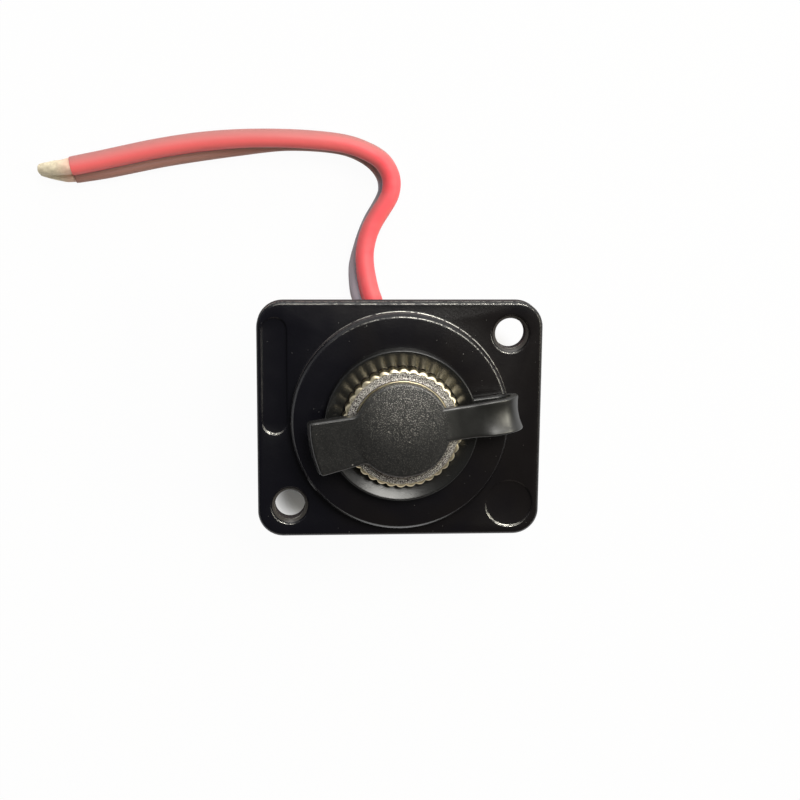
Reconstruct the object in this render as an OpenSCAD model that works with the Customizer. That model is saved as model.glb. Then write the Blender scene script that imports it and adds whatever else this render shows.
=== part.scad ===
// Panel power socket on a rectangular flange, with a tethered rubber dust cap and a short twin lead.
// It lies face up: Z runs along the bore and out of the front, X is the plate's width, Y its height.
// The origin is the middle of the rear cover's flat end, on which the socket rests.

/* [Flange plate] */
// Width of the flange plate
flange_w = 31; // [30:0.5:36]
// Height of the flange plate
flange_h = 26; // [25.5:0.5:32]
// Thickness of the flange plate
flange_t = 2; // [1.5:0.1:4]
// Radius of the plate's four corners
corner_r = 2.8; // [1:0.1:3.4]
// Bevel round the plate's front edge
edge_bevel = 0.25; // [0.1:0.05:0.5]
// Distance between the two fixing holes along X
hole_dx = 24; // [23.5:0.1:25]
// Distance between the two fixing holes along Y
hole_dy = 19; // [18:0.1:20]
// Diameter of a fixing hole
hole_d = 3.3; // [2.5:0.1:3.6]
// Diameter of a fixing hole's bevelled mouth
hole_mouth_d = 4.3; // [3.8:0.1:4.6]

/* [Face of the plate] */
// Diameter of the raised boss
boss_d = 23.8; // [21:0.1:24]
// Height of the raised boss
boss_h = 1.6; // [1:0.1:3]
// Width of the bevel round the boss
boss_bevel_w = 0.35; // [0.1:0.05:0.8]
// Height of the bevel round the boss
boss_bevel_h = 0.5; // [0.1:0.05:0.8]
// Depth of the two shallow recesses
recess_depth = 0.2; // [0.1:0.05:0.5]
// Width of the long recess
long_recess_w = 2.7; // [2:0.1:2.8]
// Length of the long recess
long_recess_l = 12.8; // [8:0.1:14]
// Height of the long recess's middle above the bore's axis
long_recess_y = 4.9; // [3:0.1:5.5]
// Diameter of the round recess, which lies in the corner opposite the long one
round_recess_d = 5.2; // [3:0.1:5.4]

/* [Retaining ring] */
// Outer diameter of the rubber ring at its foot
ring_d = 16.4; // [15.4:0.1:18]
// Outer diameter of the rubber ring at its rim
ring_rim_d = 16.1; // [15:0.1:16.3]
// Height of the rubber ring
ring_h = 1.6; // [1.4:0.1:2.6]
// Thickness of the floor that the nut clamps
ring_floor_t = 0.8; // [0.4:0.1:1.2]
// Rounding of the ring's rim
ring_round = 0.2; // [0.1:0.05:0.3]
// Height of the dish's inner end above the floor
dish_step = 0.35; // [0.2:0.05:0.4]

/* [Dust cap] */
// Diameter of the cap's disc
cap_d = 10.1; // [9:0.1:11]
// Thickness of the disc at its edge
cap_t = 1.1; // [0.8:0.05:1.6]
// Rise of the disc's crown above its edge
cap_crown = 0.25; // [0.1:0.05:0.6]
// Step from the disc's edge down to the tab and the strap
cap_step = 0.1; // [0.05:0.05:0.3]
// Gap between the closed cap and the nut
cap_gap = 0.1; // [0.05:0.05:0.3]
// Outer diameter of the hollow plug under the disc
plug_d = 5.3; // [4.8:0.05:5.4]
// Taper of the plug, off its radius at the tip
plug_taper = 0.25; // [0.15:0.05:0.4]
// Length of the plug
plug_l = 2.8; // [1.5:0.1:3]
// Wall of the plug
plug_wall = 0.6; // [0.4:0.05:0.7]
// Reach of the pull tab from the bore's axis
tab_reach = 10; // [8:0.05:11]
// Width of the pull tab at the disc
tab_root_w = 5.3; // [4:0.1:6]
// Width of the pull tab at its end
tab_end_w = 6.1; // [4:0.1:7]
// Thickness of the pull tab
tab_t = 1.2; // [0.8:0.1:1.6]
// Direction of the pull tab, counted from X
tab_angle = 192.3; // [185:0.5:200]

/* [Strap] */
// Width of the strap
strap_w = 3.6; // [2.5:0.1:4.5]
// Thickness of the strap
strap_t = 0.95; // [0.7:0.05:1.1]
// Rounding of the strap's edges
strap_round = 0.25; // [0.1:0.05:0.3]
// Reach of the strap's bend from the bore's axis
strap_reach = 12.85; // [11.8:0.05:14]
// Direction of the strap, counted from X
strap_angle = 7.5; // [0:0.5:12]

/* [Ring nut] */
// Diameter over the nut's lobes
nut_d = 12.92; // [12:0.02:13.6]
// Height of the nut
nut_h = 2.15; // [1.8:0.05:3]
// Number of lobes round the nut
nut_lobes = 36; // [24:1:48]
// Depth of the grooves between the lobes
nut_groove = 0.2; // [0.1:0.02:0.3]
// Radius of the nut's rounded front edge
nut_round = 0.5; // [0.2:0.05:0.6]

/* [Jack] */
// Diameter of the barrel's thread
thread_d = 10; // [9:0.1:10.2]
// Clearance of the thread in what it passes through, on the radius
thread_clear = 0.1; // [0.05:0.05:0.3]
// Diameter of the bore that takes the plug
bore_d = 5.6; // [5.5:0.05:6]
// Depth of the bore
bore_depth = 10; // [9:0.1:11]
// Depth of the barrel's mouth below the nut's face
mouth_depth = 0.2; // [0:0.05:0.5]
// Diameter of the centre pin
pin_d = 2.1; // [1.6:0.05:2.5]
// Depth of the pin's tip below the barrel's mouth
pin_depth = 1; // [0.8:0.1:2]
// Width across the flats of the barrel's hexagonal shoulder
shoulder_w = 13; // [12:0.1:14]
// Thickness of the shoulder
shoulder_t = 2; // [1.5:0.1:2.5]
// Thickness of the sealing washer under the shoulder
washer_t = 0.6; // [0.4:0.05:1]
// Diameter of the barrel's tail
tail_d = 9.4; // [8.6:0.1:10]
// Diameter of the insulator in the barrel's tail
insulator_d = 7.4; // [7.2:0.1:8]
// Length of the insulator inside the barrel
insulator_l = 3.8; // [3:0.1:4.2]
// Thickness of the insulator's flange
insulator_flange_t = 0.8; // [0.5:0.1:1]
// Thickness of the contact strip
strip_t = 0.3; // [0.2:0.05:0.35]
// Width of the contact strip
strip_w = 1.8; // [1.2:0.1:2]
// Length of the two solder tags
tag_l = 3.4; // [2.8:0.1:3.6]

/* [Rear cover] */
// Diameter of the rear cover
cover_d = 20; // [19.6:0.1:20.6]
// Depth of the rear cover behind the plate
cover_depth = 14; // [13.6:0.1:16]
// Thickness of the cover's side wall
cover_wall = 1.2; // [0.8:0.1:1.4]
// Thickness of the cover's floor
cover_floor = 1; // [0.7:0.1:1.1]
// Rounding of the cover's rear edge
cover_round = 0.8; // [0.2:0.1:0.8]
// Height of the spigot on the plate that the cover snaps over
spigot_h = 3; // [2:0.1:4]
// Wall of the spigot
spigot_wall = 0.9; // [0.6:0.1:1]
// Height of the snap bead round the spigot
bead_r = 0.2; // [0.1:0.05:0.3]

/* [Lead] */
// Diameter over each conductor's insulation
wire_d = 2.1; // [1.8:0.05:2.1]
// Diameter of the bare strands
core_d = 1; // [0.8:0.1:1.2]
// Distance between the two conductors' middles
pair_pitch = 2.2; // [2.2:0.05:2.35]
// Lean of the pair at its outlet, counted from flat
pair_lean = 56; // [45:1:70]
// Direction in which the lead leaves the cover, counted from X
lead_angle = 104.5; // [100:0.5:110]
// Height of the lead's outlet above the cover's rear end
outlet_z = 4.15; // [4.05:0.05:4.6]
// Rubber round each conductor in the grommet's neck
grommet_wall = 0.7; // [0.5:0.1:0.8]
// Width of the grommet's inner lip beyond its neck
inner_lip = 0.3; // [0.2:0.05:0.4]
// Width of the grommet's outer lip beyond its neck
outer_lip = 0.5; // [0.3:0.1:0.7]
// Thickness of the grommet's outer lip
outer_lip_t = 1.2; // [0.8:0.1:1.2]

/* [Hidden] */
$fn = 96;
eps = 0.01;

// Heights, from the cover's rear end up to the cap
back_z = cover_depth;
front_z = back_z + flange_t;
boss_z = front_z + boss_h;
nut_z = boss_z + ring_floor_t;
nut_top_z = nut_z + nut_h;
cap_z = nut_top_z + cap_gap;
cap_edge_z = cap_z + cap_t;
strap_top_z = cap_edge_z - cap_step;
mouth_z = nut_top_z - mouth_depth;
seat_z = mouth_z - bore_depth;
tail_z = seat_z - insulator_l;
tags_z = tail_z - insulator_flange_t;
washer_z = back_z - washer_t;

// The strap's bend is half a turn, and the cap swings about its middle
strap_lift = 0.1;
strap_low_z = boss_z + strap_lift;
bend_r = (strap_top_z - strap_low_z - strap_t) / 2;
bend_z = (strap_top_z + strap_low_z) / 2;
bend_x = strap_reach - bend_r - strap_t / 2;

thread_hole_d = thread_d + 2 * thread_clear;
nut_dish_clear = 0.1;
nut_tab_clear = 0.3;
underside_step = 0.05;
cover_fit = 0.05;
spigot_d = cover_d - 2 * cover_wall - 2 * cover_fit;
bead_z = back_z - spigot_h / 2;

// Contact strip and tags. The strip lies in a groove in the bore's wall, on the side away from X
strip_inset = 0.55;
strip_x = insulator_d / 2 - strip_inset;
strip_bow = 0.45;
strip_tip_depth = 2;
strip_tip_z = mouth_z - strip_tip_depth;
strip_groove_w = strip_w + 0.4;
strip_clear = 0.1;
tag_t = 0.4;
tag_w = 2.2;
tag_x = 1.5;
tag_hole_d = 1;
tag_hole_z = tags_z - tag_l / 2;
insulator_clear = 0.02;
rivet_d = 1.5;
rivet_h = 0.3;

// Outlet of the lead. The pair leans, so the red conductor lies above the black one and to its right
wire_r = wire_d / 2;
core_r = core_d / 2;
neck_r = wire_r + grommet_wall;
outlet_u = cover_d / 2;
exit_u = outlet_u + outer_lip_t;
inner_lip_u = sqrt(pow(cover_d / 2 - cover_wall, 2) - pow(neck_r + inner_lip + pair_pitch / 2, 2)) - 0.05;
inner_lip_t = 0.7;
out = [cos(lead_angle), sin(lead_angle), 0];
across = [sin(lead_angle), -cos(lead_angle), 0];
up = [0, 0, 1];
RED = 1;
BLACK = -1;

// Middle of the pair after the outlet, chosen by hand: across the surface, round a bend and to the left.
// Each row holds X, Y, the pair's height above where it would lie, and its lean
route = [
    [-3.4, 12.8, 1.7, 56], [-3.7, 15.2, 0.9, 67], [-3.5, 17.2, 0.3, 82], [-3, 19.1, 0.1, 88],
    [-2.3, 20.7, 0, 88], [-1.4, 22.2, 0, 87], [-0.6, 23.8, 0, 83], [-0.6, 25.6, 0, 77], [-1.6, 27.3, 0, 74],
    [-3.4, 28.5, 0, 79], [-5.7, 29.3, 0, 82], [-9, 29.7, 0, 82], [-13, 29.8, 0, 78], [-17.5, 29.5, 0, 65],
    [-22, 29, 0, 57], [-26.4, 28.3, 0, 56], [-29.8, 27.6, 0, 56], [-33.1, 26.9, 0, 58], [-36.4, 26.3, 0, 63]
];
// Where the two bare ends come together
tip = [-40.2, 26.3, 1.6];
tip_spread = 0.47;
bare_radii = [0.9, 0.82, 0.6, 0.38];
wire_sides = 8;
lie_gap = 0.03;

function unit(v) = v / norm(v);
function heading(p, i) = unit(p[min(i + 1, len(p) - 1)] - p[max(i - 1, 0)]);
function side_of(t) = unit([t[1], -t[0], 0]);

// Offset of one conductor from the middle of the pair, for a pair that runs along t
function offset_of(which, t, lean = pair_lean) =
    which * pair_pitch / 2 * (cos(lean) * side_of(t) + sin(lean) * up);

// A smooth curve through points, with one more point between each two
function between(a, b, c, d) = (9 * (b + c) - (a + d)) / 16;
function smooth(p) = [
    for (i = [0:len(p) - 1], half = [0, 1])
        if (half == 0) p[i]
        else if (i < len(p) - 1) between(p[max(i - 1, 0)], p[i], p[i + 1], p[min(i + 2, len(p) - 1)])
];

// A curve from a to b that leaves along from_a and arrives along to_b
function curve(a, from_a, b, to_b, steps) = [
    for (i = [0:steps]) let (t = i / steps)
        (2 * pow(t, 3) - 3 * pow(t, 2) + 1) * a + (pow(t, 3) - 2 * pow(t, 2) + t) * from_a
        + (3 * pow(t, 2) - 2 * pow(t, 3)) * b + (pow(t, 3) - pow(t, 2)) * to_b
];

outlet = exit_u * out + outlet_z * up;
function lying(p) = [p[0], p[1], wire_r + pair_pitch / 2 * sin(p[3]) + lie_gap + p[2]];
exit_path = concat([outlet, outlet + 0.9 * out - 0.05 * up], [for (p = route) lying(p)]);
exit_leans = concat([pair_lean, pair_lean], [for (p = route) p[3]]);
function conductor(which) = smooth([
    for (i = [0:len(exit_path) - 1])
        exit_path[i] + offset_of(which, i == 0 ? out : heading(exit_path, i), exit_leans[i])
]);

// Ends of the two conductors inside the cover, beside their tags
inside_u = inner_lip_u - inner_lip_t;
insulation_end_y = 2.6;
core_end_y = -0.9;
solder_gap = 0.05;
red_end = [tag_x - solder_gap - core_r, insulation_end_y, tag_hole_z];
black_end = [-strip_x - strip_t / 2 - solder_gap - core_r, insulation_end_y, tag_hole_z];

// A round tube along a path, with a radius for each of its points. Its first face looks along first
module tube(path, radii, first) {
    n = len(path);
    rings = [
        for (i = [0:n - 1]) let (t = i == 0 ? first : heading(path, i), s = side_of(t))
            for (k = [0:wire_sides - 1]) let (a = (k + 0.5) * 360 / wire_sides)
                path[i] + radii[i] * (cos(a) * s + sin(a) * cross(s, t))
    ];
    faces = concat(
        [[for (k = [wire_sides - 1:-1:0]) k]],
        [for (i = [0:n - 2], k = [0:wire_sides - 1]) let (j = (k + 1) % wire_sides)
            [i * wire_sides + k, i * wire_sides + j, (i + 1) * wire_sides + j, (i + 1) * wire_sides + k]],
        [[for (k = [0:wire_sides - 1]) (n - 1) * wire_sides + k]]
    );
    polyhedron(rings, faces, convexity = 6);
}

// Points of an arc about c, from angle a to angle b
function arc(c, r, a, b, steps) = [
    for (i = [0:steps]) let (angle = a + (b - a) * i / steps) c + r * [cos(angle), sin(angle)]
];

module rounded_rectangle(w, h, r) {
    square([w - 2 * r, h], center = true);
    square([w, h - 2 * r], center = true);
    for (x = [-1, 1], y = [-1, 1]) translate([x * (w / 2 - r), y * (h / 2 - r)]) circle(r);
}

// A rounded slab with a bevel round its upper edge
module bevelled_slab(w, h, r, t, bevel) {
    linear_extrude(t - bevel) rounded_rectangle(w, h, r);
    translate([0, 0, t - bevel]) {
        for (x = [-1, 1], y = [-1, 1])
            translate([x * (w / 2 - r), y * (h / 2 - r), 0]) cylinder(bevel, r, r - bevel);
        bevelled_bar(w, h - 2 * r, bevel);
        rotate([0, 0, 90]) bevelled_bar(h, w - 2 * r, bevel);
    }
}

// A bar of width w and length l whose two sides lean in
module bevelled_bar(w, l, bevel) {
    rotate([90, 0, 0]) linear_extrude(l, center = true)
        polygon([[-w / 2, 0], [w / 2, 0], [w / 2 - bevel, bevel], [bevel - w / 2, bevel]]);
}

module at_fixing_holes() {
    for (s = [-1, 1]) translate([s * hole_dx / 2, s * hole_dy / 2, 0]) children();
}

module fixing_hole() {
    mouth_l = (hole_mouth_d - hole_d) / 2;
    translate([0, 0, back_z - 1]) cylinder(flange_t + 2, d = hole_d);
    translate([0, 0, front_z - mouth_l]) cylinder(mouth_l + eps, d1 = hole_d, d2 = hole_mouth_d + 2 * eps);
}

module face_recesses() {
    long_x = (flange_w / 2 + boss_d / 2) / 2 + 0.15;
    translate([0, 0, front_z - recess_depth]) {
        translate([-long_x, long_recess_y, 0]) linear_extrude(1)
            rounded_rectangle(long_recess_w, long_recess_l, long_recess_w / 2 - eps);
        translate([hole_dx / 2, -hole_dy / 2, 0]) cylinder(1, d = round_recess_d);
    }
}

module boss() {
    r = boss_d / 2;
    rotate_extrude() polygon([
        [0, back_z + eps], [r, back_z + eps], [r, boss_z - boss_bevel_h], [r - boss_bevel_w, boss_z],
        [0, boss_z]
    ]);
}

// The ring behind the plate over which the rear cover snaps
module spigot() {
    r = spigot_d / 2;
    z = back_z - spigot_h;
    rotate_extrude() polygon(concat(
        [[r - spigot_wall, z], [r - 0.2, z], [r, z + 0.2]],
        arc([r, bead_z], bead_r, -90, 90, 8),
        [[r, back_z + eps], [r - spigot_wall, back_z + eps]]
    ));
}

module flange_plate() {
    color([0.06, 0.06, 0.07]) difference() {
        union() {
            translate([0, 0, back_z]) bevelled_slab(flange_w, flange_h, corner_r, flange_t, edge_bevel);
            boss();
            spigot();
        }
        translate([0, 0, back_z - 1]) cylinder(flange_t + boss_h + 2, d = thread_hole_d);
        at_fixing_holes() fixing_hole();
        face_recesses();
    }
}

// A cross-section of the grommet or of the hole that it fills: a slot round both conductors
module outlet_slot(r) {
    rotate(pair_lean) {
        for (s = [-1, 1]) translate([s * pair_pitch / 2, 0]) circle(r);
        square([pair_pitch, 2 * r], center = true);
    }
}

// Turns a drawing so that its X runs across the outlet, its Y up and its normal inwards
module at_outlet(u) {
    multmatrix([
        [across[0], 0, out[0], u * out[0]],
        [across[1], 0, out[1], u * out[1]],
        [0, 1, 0, outlet_z],
        [0, 0, 0, 1]
    ]) children();
}

module rear_cover() {
    r = cover_d / 2;
    inner = r - cover_wall;
    color([0.07, 0.07, 0.08]) difference() {
        rotate_extrude() polygon(concat(
            [[0, 0]],
            arc([r - cover_round, cover_round], cover_round, -90, 0, 8),
            [[r, back_z], [inner + 0.2, back_z], [inner, back_z - 0.2]],
            arc([inner, bead_z], bead_r + cover_fit, 90, -90, 8),
            [[inner, cover_floor], [0, cover_floor]]
        ));
        at_outlet(inner - 1) linear_extrude(cover_wall + 2) outlet_slot(neck_r);
    }
}

module lead_grommet() {
    color([0.05, 0.05, 0.05]) difference() {
        union() {
            at_outlet(inner_lip_u - inner_lip_t) linear_extrude(inner_lip_t) outlet_slot(neck_r + inner_lip);
            at_outlet(inner_lip_u - eps) linear_extrude(outlet_u - inner_lip_u + 2 * eps) outlet_slot(neck_r);
            at_outlet(outlet_u) linear_extrude(outer_lip_t) outlet_slot(neck_r + outer_lip);
        }
        for (s = [RED, BLACK])
            at_outlet(0) translate(s * pair_pitch / 2 * [cos(pair_lean), sin(pair_lean), 0])
                cylinder(exit_u + 1, r = wire_r);
    }
}

// Cross-section of the strap, with its width along Y
module strap_section() {
    rounded_rectangle(strap_t, strap_w, strap_round);
}

// A straight run of the strap from one distance to another, centred on height z
module strap_run(from_x, to_x, z) {
    rotate([0, 0, strap_angle]) translate([from_x, 0, z]) rotate([90, 0, 90])
        linear_extrude(to_x - from_x) rotate(90) strap_section();
}

module strap_loop() {
    color([0.12, 0.12, 0.12]) rotate([0, 0, strap_angle]) translate([bend_x, 0, bend_z])
        rotate([90, 0, 0]) rotate([0, 0, -90]) rotate_extrude(angle = 180)
            translate([bend_r, 0]) strap_section();
}

module cap_ring() {
    top_z = boss_z + ring_h;
    rim_r = ring_rim_d / 2;
    dish_r = nut_d / 2 + nut_dish_clear;
    dish_lean = 17;
    color([0.1, 0.1, 0.1]) {
        rotate_extrude() polygon(concat(
            [[thread_hole_d / 2, boss_z], [ring_d / 2, boss_z]],
            arc([rim_r - ring_round, top_z - ring_round], ring_round, 0, 90 + dish_lean, 6),
            [[dish_r, nut_z + dish_step], [dish_r, nut_z], [thread_hole_d / 2, nut_z]]
        ));
        strap_run(rim_r - 0.6, bend_x, strap_low_z + strap_t / 2);
    }
}

// A flat arch over the disc, from its rounded edge to its crown
module cap_disc() {
    r = cap_d / 2;
    edge_round = 0.25;
    edge_turn = 75;
    inner_r = r - edge_round;
    crown_r = (pow(inner_r, 2) + pow(cap_crown, 2)) / (2 * cap_crown);
    rotate_extrude() polygon(concat(
        [[0, cap_z], [r, cap_z]],
        arc([inner_r, cap_edge_z - edge_round], edge_round, 0, edge_turn, 4),
        arc([0, cap_edge_z + cap_crown - crown_r], crown_r, acos(inner_r / crown_r), 90, 8)
    ));
}

module cap_plug() {
    top_r = plug_d / 2;
    tip_r = top_r - plug_taper;
    tip_z = cap_z - plug_l;
    rotate_extrude() polygon([
        [top_r - plug_wall, cap_z + eps], [tip_r - plug_wall, tip_z], [tip_r - 0.15, tip_z],
        [tip_r, tip_z + 0.15], [top_r, cap_z + eps]
    ]);
}

module pull_tab() {
    root = cap_d / 2 - 1;
    end_bow = 0.35;
    chord = tab_end_w / 2;
    bow_r = (pow(chord, 2) + pow(end_bow, 2)) / (2 * end_bow);
    half = asin(chord / bow_r);
    difference() {
        rotate([0, 0, tab_angle]) translate([0, 0, strap_top_z - tab_t]) linear_extrude(tab_t) polygon(concat(
            [[root, tab_root_w / 2], [root, -tab_root_w / 2]],
            arc([tab_reach - bow_r, 0], bow_r, -half, half, 8)
        ));
        translate([0, 0, cap_z - 1]) cylinder(1 + underside_step, r = nut_d / 2 + nut_tab_clear);
    }
}

module dust_cap() {
    color([0.13, 0.13, 0.13]) {
        cap_disc();
        cap_plug();
        pull_tab();
        strap_run(cap_d / 2 - 0.6, bend_x, strap_top_z - strap_t / 2);
    }
}

module nut_outline() {
    lobe_r = 0.55 * PI * nut_d / nut_lobes;
    circle(nut_d / 2 - nut_groove);
    for (i = [0:nut_lobes - 1])
        rotate((i + 0.9) * 360 / nut_lobes) translate([nut_d / 2 - lobe_r, 0]) circle(lobe_r, $fn = 24);
}

module ring_nut() {
    r = nut_d / 2;
    hole_r = thread_d / 2 + thread_clear / 2;
    color([0.75, 0.72, 0.62]) intersection() {
        translate([0, 0, nut_z]) linear_extrude(nut_h) difference() {
            nut_outline();
            circle(hole_r);
        }
        rotate_extrude() polygon(concat(
            [[hole_r - 1, nut_z], [r - 0.25, nut_z], [r + eps, nut_z + 0.25]],
            arc([r - nut_round, nut_top_z - nut_round], nut_round + eps, 0, 90, 6),
            [[hole_r + 0.15, nut_top_z], [hole_r - 1, nut_top_z - 1.15]]
        ));
    }
}

module barrel_outside() {
    shoulder_z = washer_z - shoulder_t;
    translate([0, 0, washer_z - eps]) cylinder(mouth_z - washer_z + eps - 0.3, d = thread_d);
    translate([0, 0, mouth_z - 0.3]) cylinder(0.3, d1 = thread_d, d2 = thread_d - 0.6);
    intersection() {
        translate([0, 0, shoulder_z]) rotate([0, 0, 30])
            cylinder(shoulder_t, d = shoulder_w / cos(30), $fn = 6);
        translate([0, 0, shoulder_z])
            cylinder(shoulder_t, d1 = shoulder_w + 0.2, d2 = shoulder_w + 1.5 * shoulder_t);
    }
    translate([0, 0, tail_z]) cylinder(shoulder_z - tail_z + eps, d = tail_d);
}

module strip_groove() {
    translate([-insulator_d / 2, -strip_groove_w / 2, seat_z - 1])
        cube([insulator_d / 2, strip_groove_w, strip_tip_z + 0.3 - seat_z + 1]);
}

module jack_barrel() {
    color([0.78, 0.76, 0.7]) difference() {
        barrel_outside();
        translate([0, 0, seat_z - eps]) cylinder(bore_depth + 1, d = bore_d);
        translate([0, 0, mouth_z - 0.3]) cylinder(0.3 + eps, d1 = bore_d, d2 = bore_d + 0.6 + 2 * eps);
        translate([0, 0, tail_z - 1]) cylinder(insulator_l + 1, d = insulator_d);
        strip_groove();
    }
}

module sealing_washer() {
    color([0.09, 0.09, 0.09]) translate([0, 0, washer_z]) difference() {
        cylinder(washer_t, d = shoulder_w);
        translate([0, 0, -1]) cylinder(washer_t + 2, d = thread_hole_d);
    }
}

module strip_slot() {
    translate([-insulator_d / 2 - 1, -strip_groove_w / 2, tags_z - 1])
        cube([
            insulator_d / 2 + 1 - strip_x + strip_t / 2 + strip_clear, strip_groove_w, seat_z - tags_z + 2
        ]);
}

module jack_insulator() {
    color([0.85, 0.83, 0.76]) difference() {
        union() {
            translate([0, 0, tags_z])
                cylinder(seat_z - tags_z - insulator_clear, d = insulator_d - 2 * insulator_clear);
            translate([0, 0, tags_z]) cylinder(insulator_flange_t - insulator_clear, d = tail_d);
        }
        translate([0, 0, tags_z - 1]) cylinder(seat_z - tags_z + 2, d = rivet_d);
        strip_slot();
    }
}

module centre_pin() {
    r = pin_d / 2;
    tip_z = mouth_z - pin_depth;
    rivet_z = tags_z - tag_t;
    color([0.83, 0.78, 0.6]) rotate_extrude() polygon(concat(
        [[0, rivet_z - rivet_h], [rivet_d / 2 + 0.15, rivet_z - rivet_h], [rivet_d / 2 + 0.3, rivet_z],
            [rivet_d / 2, rivet_z], [rivet_d / 2, seat_z], [r, seat_z]],
        arc([r - 0.6, tip_z - 0.6], 0.6, 0, 90, 5),
        [[0, tip_z]]
    ));
}

// A solder tag that hangs from z = 0, with its thickness along X and a hole for the conductor
module solder_tag(t, w) {
    difference() {
        union() {
            translate([0, -w / 2, w / 2 - tag_l]) cube([t, w, tag_l - w / 2]);
            translate([0, 0, w / 2 - tag_l]) rotate([0, 90, 0]) cylinder(t, d = w);
        }
        translate([-1, 0, -tag_l / 2]) rotate([0, 90, 0]) cylinder(t + 2, d = tag_hole_d);
    }
}

module pin_terminal() {
    color([0.8, 0.75, 0.6]) difference() {
        union() {
            translate([0, 0, tags_z - tag_t]) cylinder(tag_t, d = 2 * tag_x);
            translate([0, -tag_w / 2, tags_z - tag_t]) cube([tag_x + tag_t, tag_w, tag_t]);
            translate([tag_x, 0, tags_z]) solder_tag(tag_t, tag_w);
        }
        translate([0, 0, tags_z - 1]) cylinder(2, d = rivet_d);
    }
}

// The strip runs down its groove, bows into the bore, and ends behind the insulator in its own tag
module sleeve_contact() {
    t = strip_t / 2;
    bow_z = (strip_tip_z + seat_z) / 2;
    bow_l = strip_tip_z - seat_z - 0.6;
    mid = [
        for (i = [0:10]) let (a = i / 10)
            [strip_bow * pow(sin(180 * a), 2) - strip_x, bow_z + bow_l * (0.5 - a)]
    ];
    color([0.8, 0.75, 0.6]) {
        rotate([90, 0, 0]) linear_extrude(strip_w, center = true) polygon(concat(
            [[-strip_x - t, strip_tip_z]], [for (p = mid) p - [t, 0]], [[-strip_x - t, tags_z - eps]],
            [[-strip_x + t, tags_z - eps]], [for (i = [10:-1:0]) mid[i] + [t, 0]],
            [[-strip_x + t, strip_tip_z]]
        ));
        translate([-strip_x - t, 0, tags_z]) solder_tag(strip_t, strip_w);
    }
}

function inside_path(which, end) = concat(
    [outlet + offset_of(which, out)],
    curve(inside_u * out + outlet_z * up + offset_of(which, out), -4 * out, end, [0, -4, 0], 8)
);

module wire_inside(which, end) {
    path = inside_path(which, end);
    tube(path, [for (p = path) wire_r], -out);
    bare_core(end);
}

module bare_core(end) {
    translate(end) rotate([90, 0, 0]) cylinder(end[1] - core_end_y, r = core_r);
}

module red_wire_inside() {
    color([0.85, 0.1, 0.12]) wire_inside(RED, red_end);
}

module black_wire_inside() {
    color([0.08, 0.08, 0.09]) wire_inside(BLACK, black_end);
}

// Solder round a core, flat where it meets the tag
module solder_joint(end) {
    near_face_x = end[0] + core_r + solder_gap;
    cut = 4 * core_d;
    difference() {
        translate([end[0], 0, end[2]]) rotate([90, 0, 0]) rotate_extrude() polygon([
            [core_r, -1.2], [core_r + 0.1, -1.2], [core_r + 0.35, -0.6], [core_r + 0.4, 0],
            [core_r + 0.35, 0.5], [core_r + 0.1, 1], [core_r, 1]
        ]);
        translate([near_face_x, -cut / 2, end[2] - cut / 2]) cube(cut);
    }
}

module red_solder() {
    color([0.8, 0.8, 0.8]) solder_joint(red_end);
}

module black_solder() {
    color([0.8, 0.8, 0.8]) solder_joint(black_end);
}

module lead(which) {
    path = conductor(which);
    tube(path, [for (p = path) wire_r], out);
}

module bare_end(which) {
    path = conductor(which);
    last = len(path) - 1;
    start = path[last];
    stop = tip + which * tip_spread * unit([0, 0.5, 1]);
    steps = len(bare_radii) - 1;
    tube([for (i = [0:steps]) start + (stop - start) * i / steps], bare_radii, heading(path, last));
}

module red_lead() {
    color([0.9, 0.15, 0.18]) lead(RED);
}

module black_lead() {
    color([0.1, 0.1, 0.11]) lead(BLACK);
}

module red_bare_end() {
    color([0.85, 0.82, 0.7]) bare_end(RED);
}

module black_bare_end() {
    color([0.85, 0.82, 0.7]) bare_end(BLACK);
}

flange_plate();
rear_cover();
cap_ring();
strap_loop();
dust_cap();
ring_nut();
jack_barrel();
sealing_washer();
jack_insulator();
centre_pin();
pin_terminal();
sleeve_contact();
red_solder();
black_solder();
red_wire_inside();
black_wire_inside();
lead_grommet();
red_lead();
black_lead();
red_bare_end();
black_bare_end();
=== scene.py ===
"""Looks of a small panel-mount power socket with a tethered dust cap and a short twin lead.

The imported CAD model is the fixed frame. Sizes here are in millimetres, in that model's frame, until a
piece is made, and every Blender object is in metres.
"""

from __future__ import annotations

import logging
import math
from dataclasses import dataclass
from enum import Enum
from typing import Any, Callable, Mapping, Optional, Sequence, Union

import bmesh
import bpy
import numpy as np
from mathutils import Euler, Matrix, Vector

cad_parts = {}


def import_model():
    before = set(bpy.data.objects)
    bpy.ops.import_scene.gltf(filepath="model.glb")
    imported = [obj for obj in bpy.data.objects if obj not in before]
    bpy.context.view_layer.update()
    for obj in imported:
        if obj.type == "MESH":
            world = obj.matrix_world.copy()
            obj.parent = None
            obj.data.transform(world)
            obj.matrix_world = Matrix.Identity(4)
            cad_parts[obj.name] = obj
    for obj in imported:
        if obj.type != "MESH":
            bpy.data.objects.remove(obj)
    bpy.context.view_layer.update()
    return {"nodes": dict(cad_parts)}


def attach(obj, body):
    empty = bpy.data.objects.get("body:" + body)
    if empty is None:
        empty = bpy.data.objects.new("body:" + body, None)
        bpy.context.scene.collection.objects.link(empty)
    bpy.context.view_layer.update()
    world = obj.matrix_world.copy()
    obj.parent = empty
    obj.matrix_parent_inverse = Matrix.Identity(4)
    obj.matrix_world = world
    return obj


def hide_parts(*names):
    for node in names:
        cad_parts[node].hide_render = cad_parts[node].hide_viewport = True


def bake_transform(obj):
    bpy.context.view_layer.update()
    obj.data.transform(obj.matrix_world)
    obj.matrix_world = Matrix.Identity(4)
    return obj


log = logging.getLogger("socket")

MM = 0.001
SOCKET = "socket"
CAP = "cap"

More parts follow.
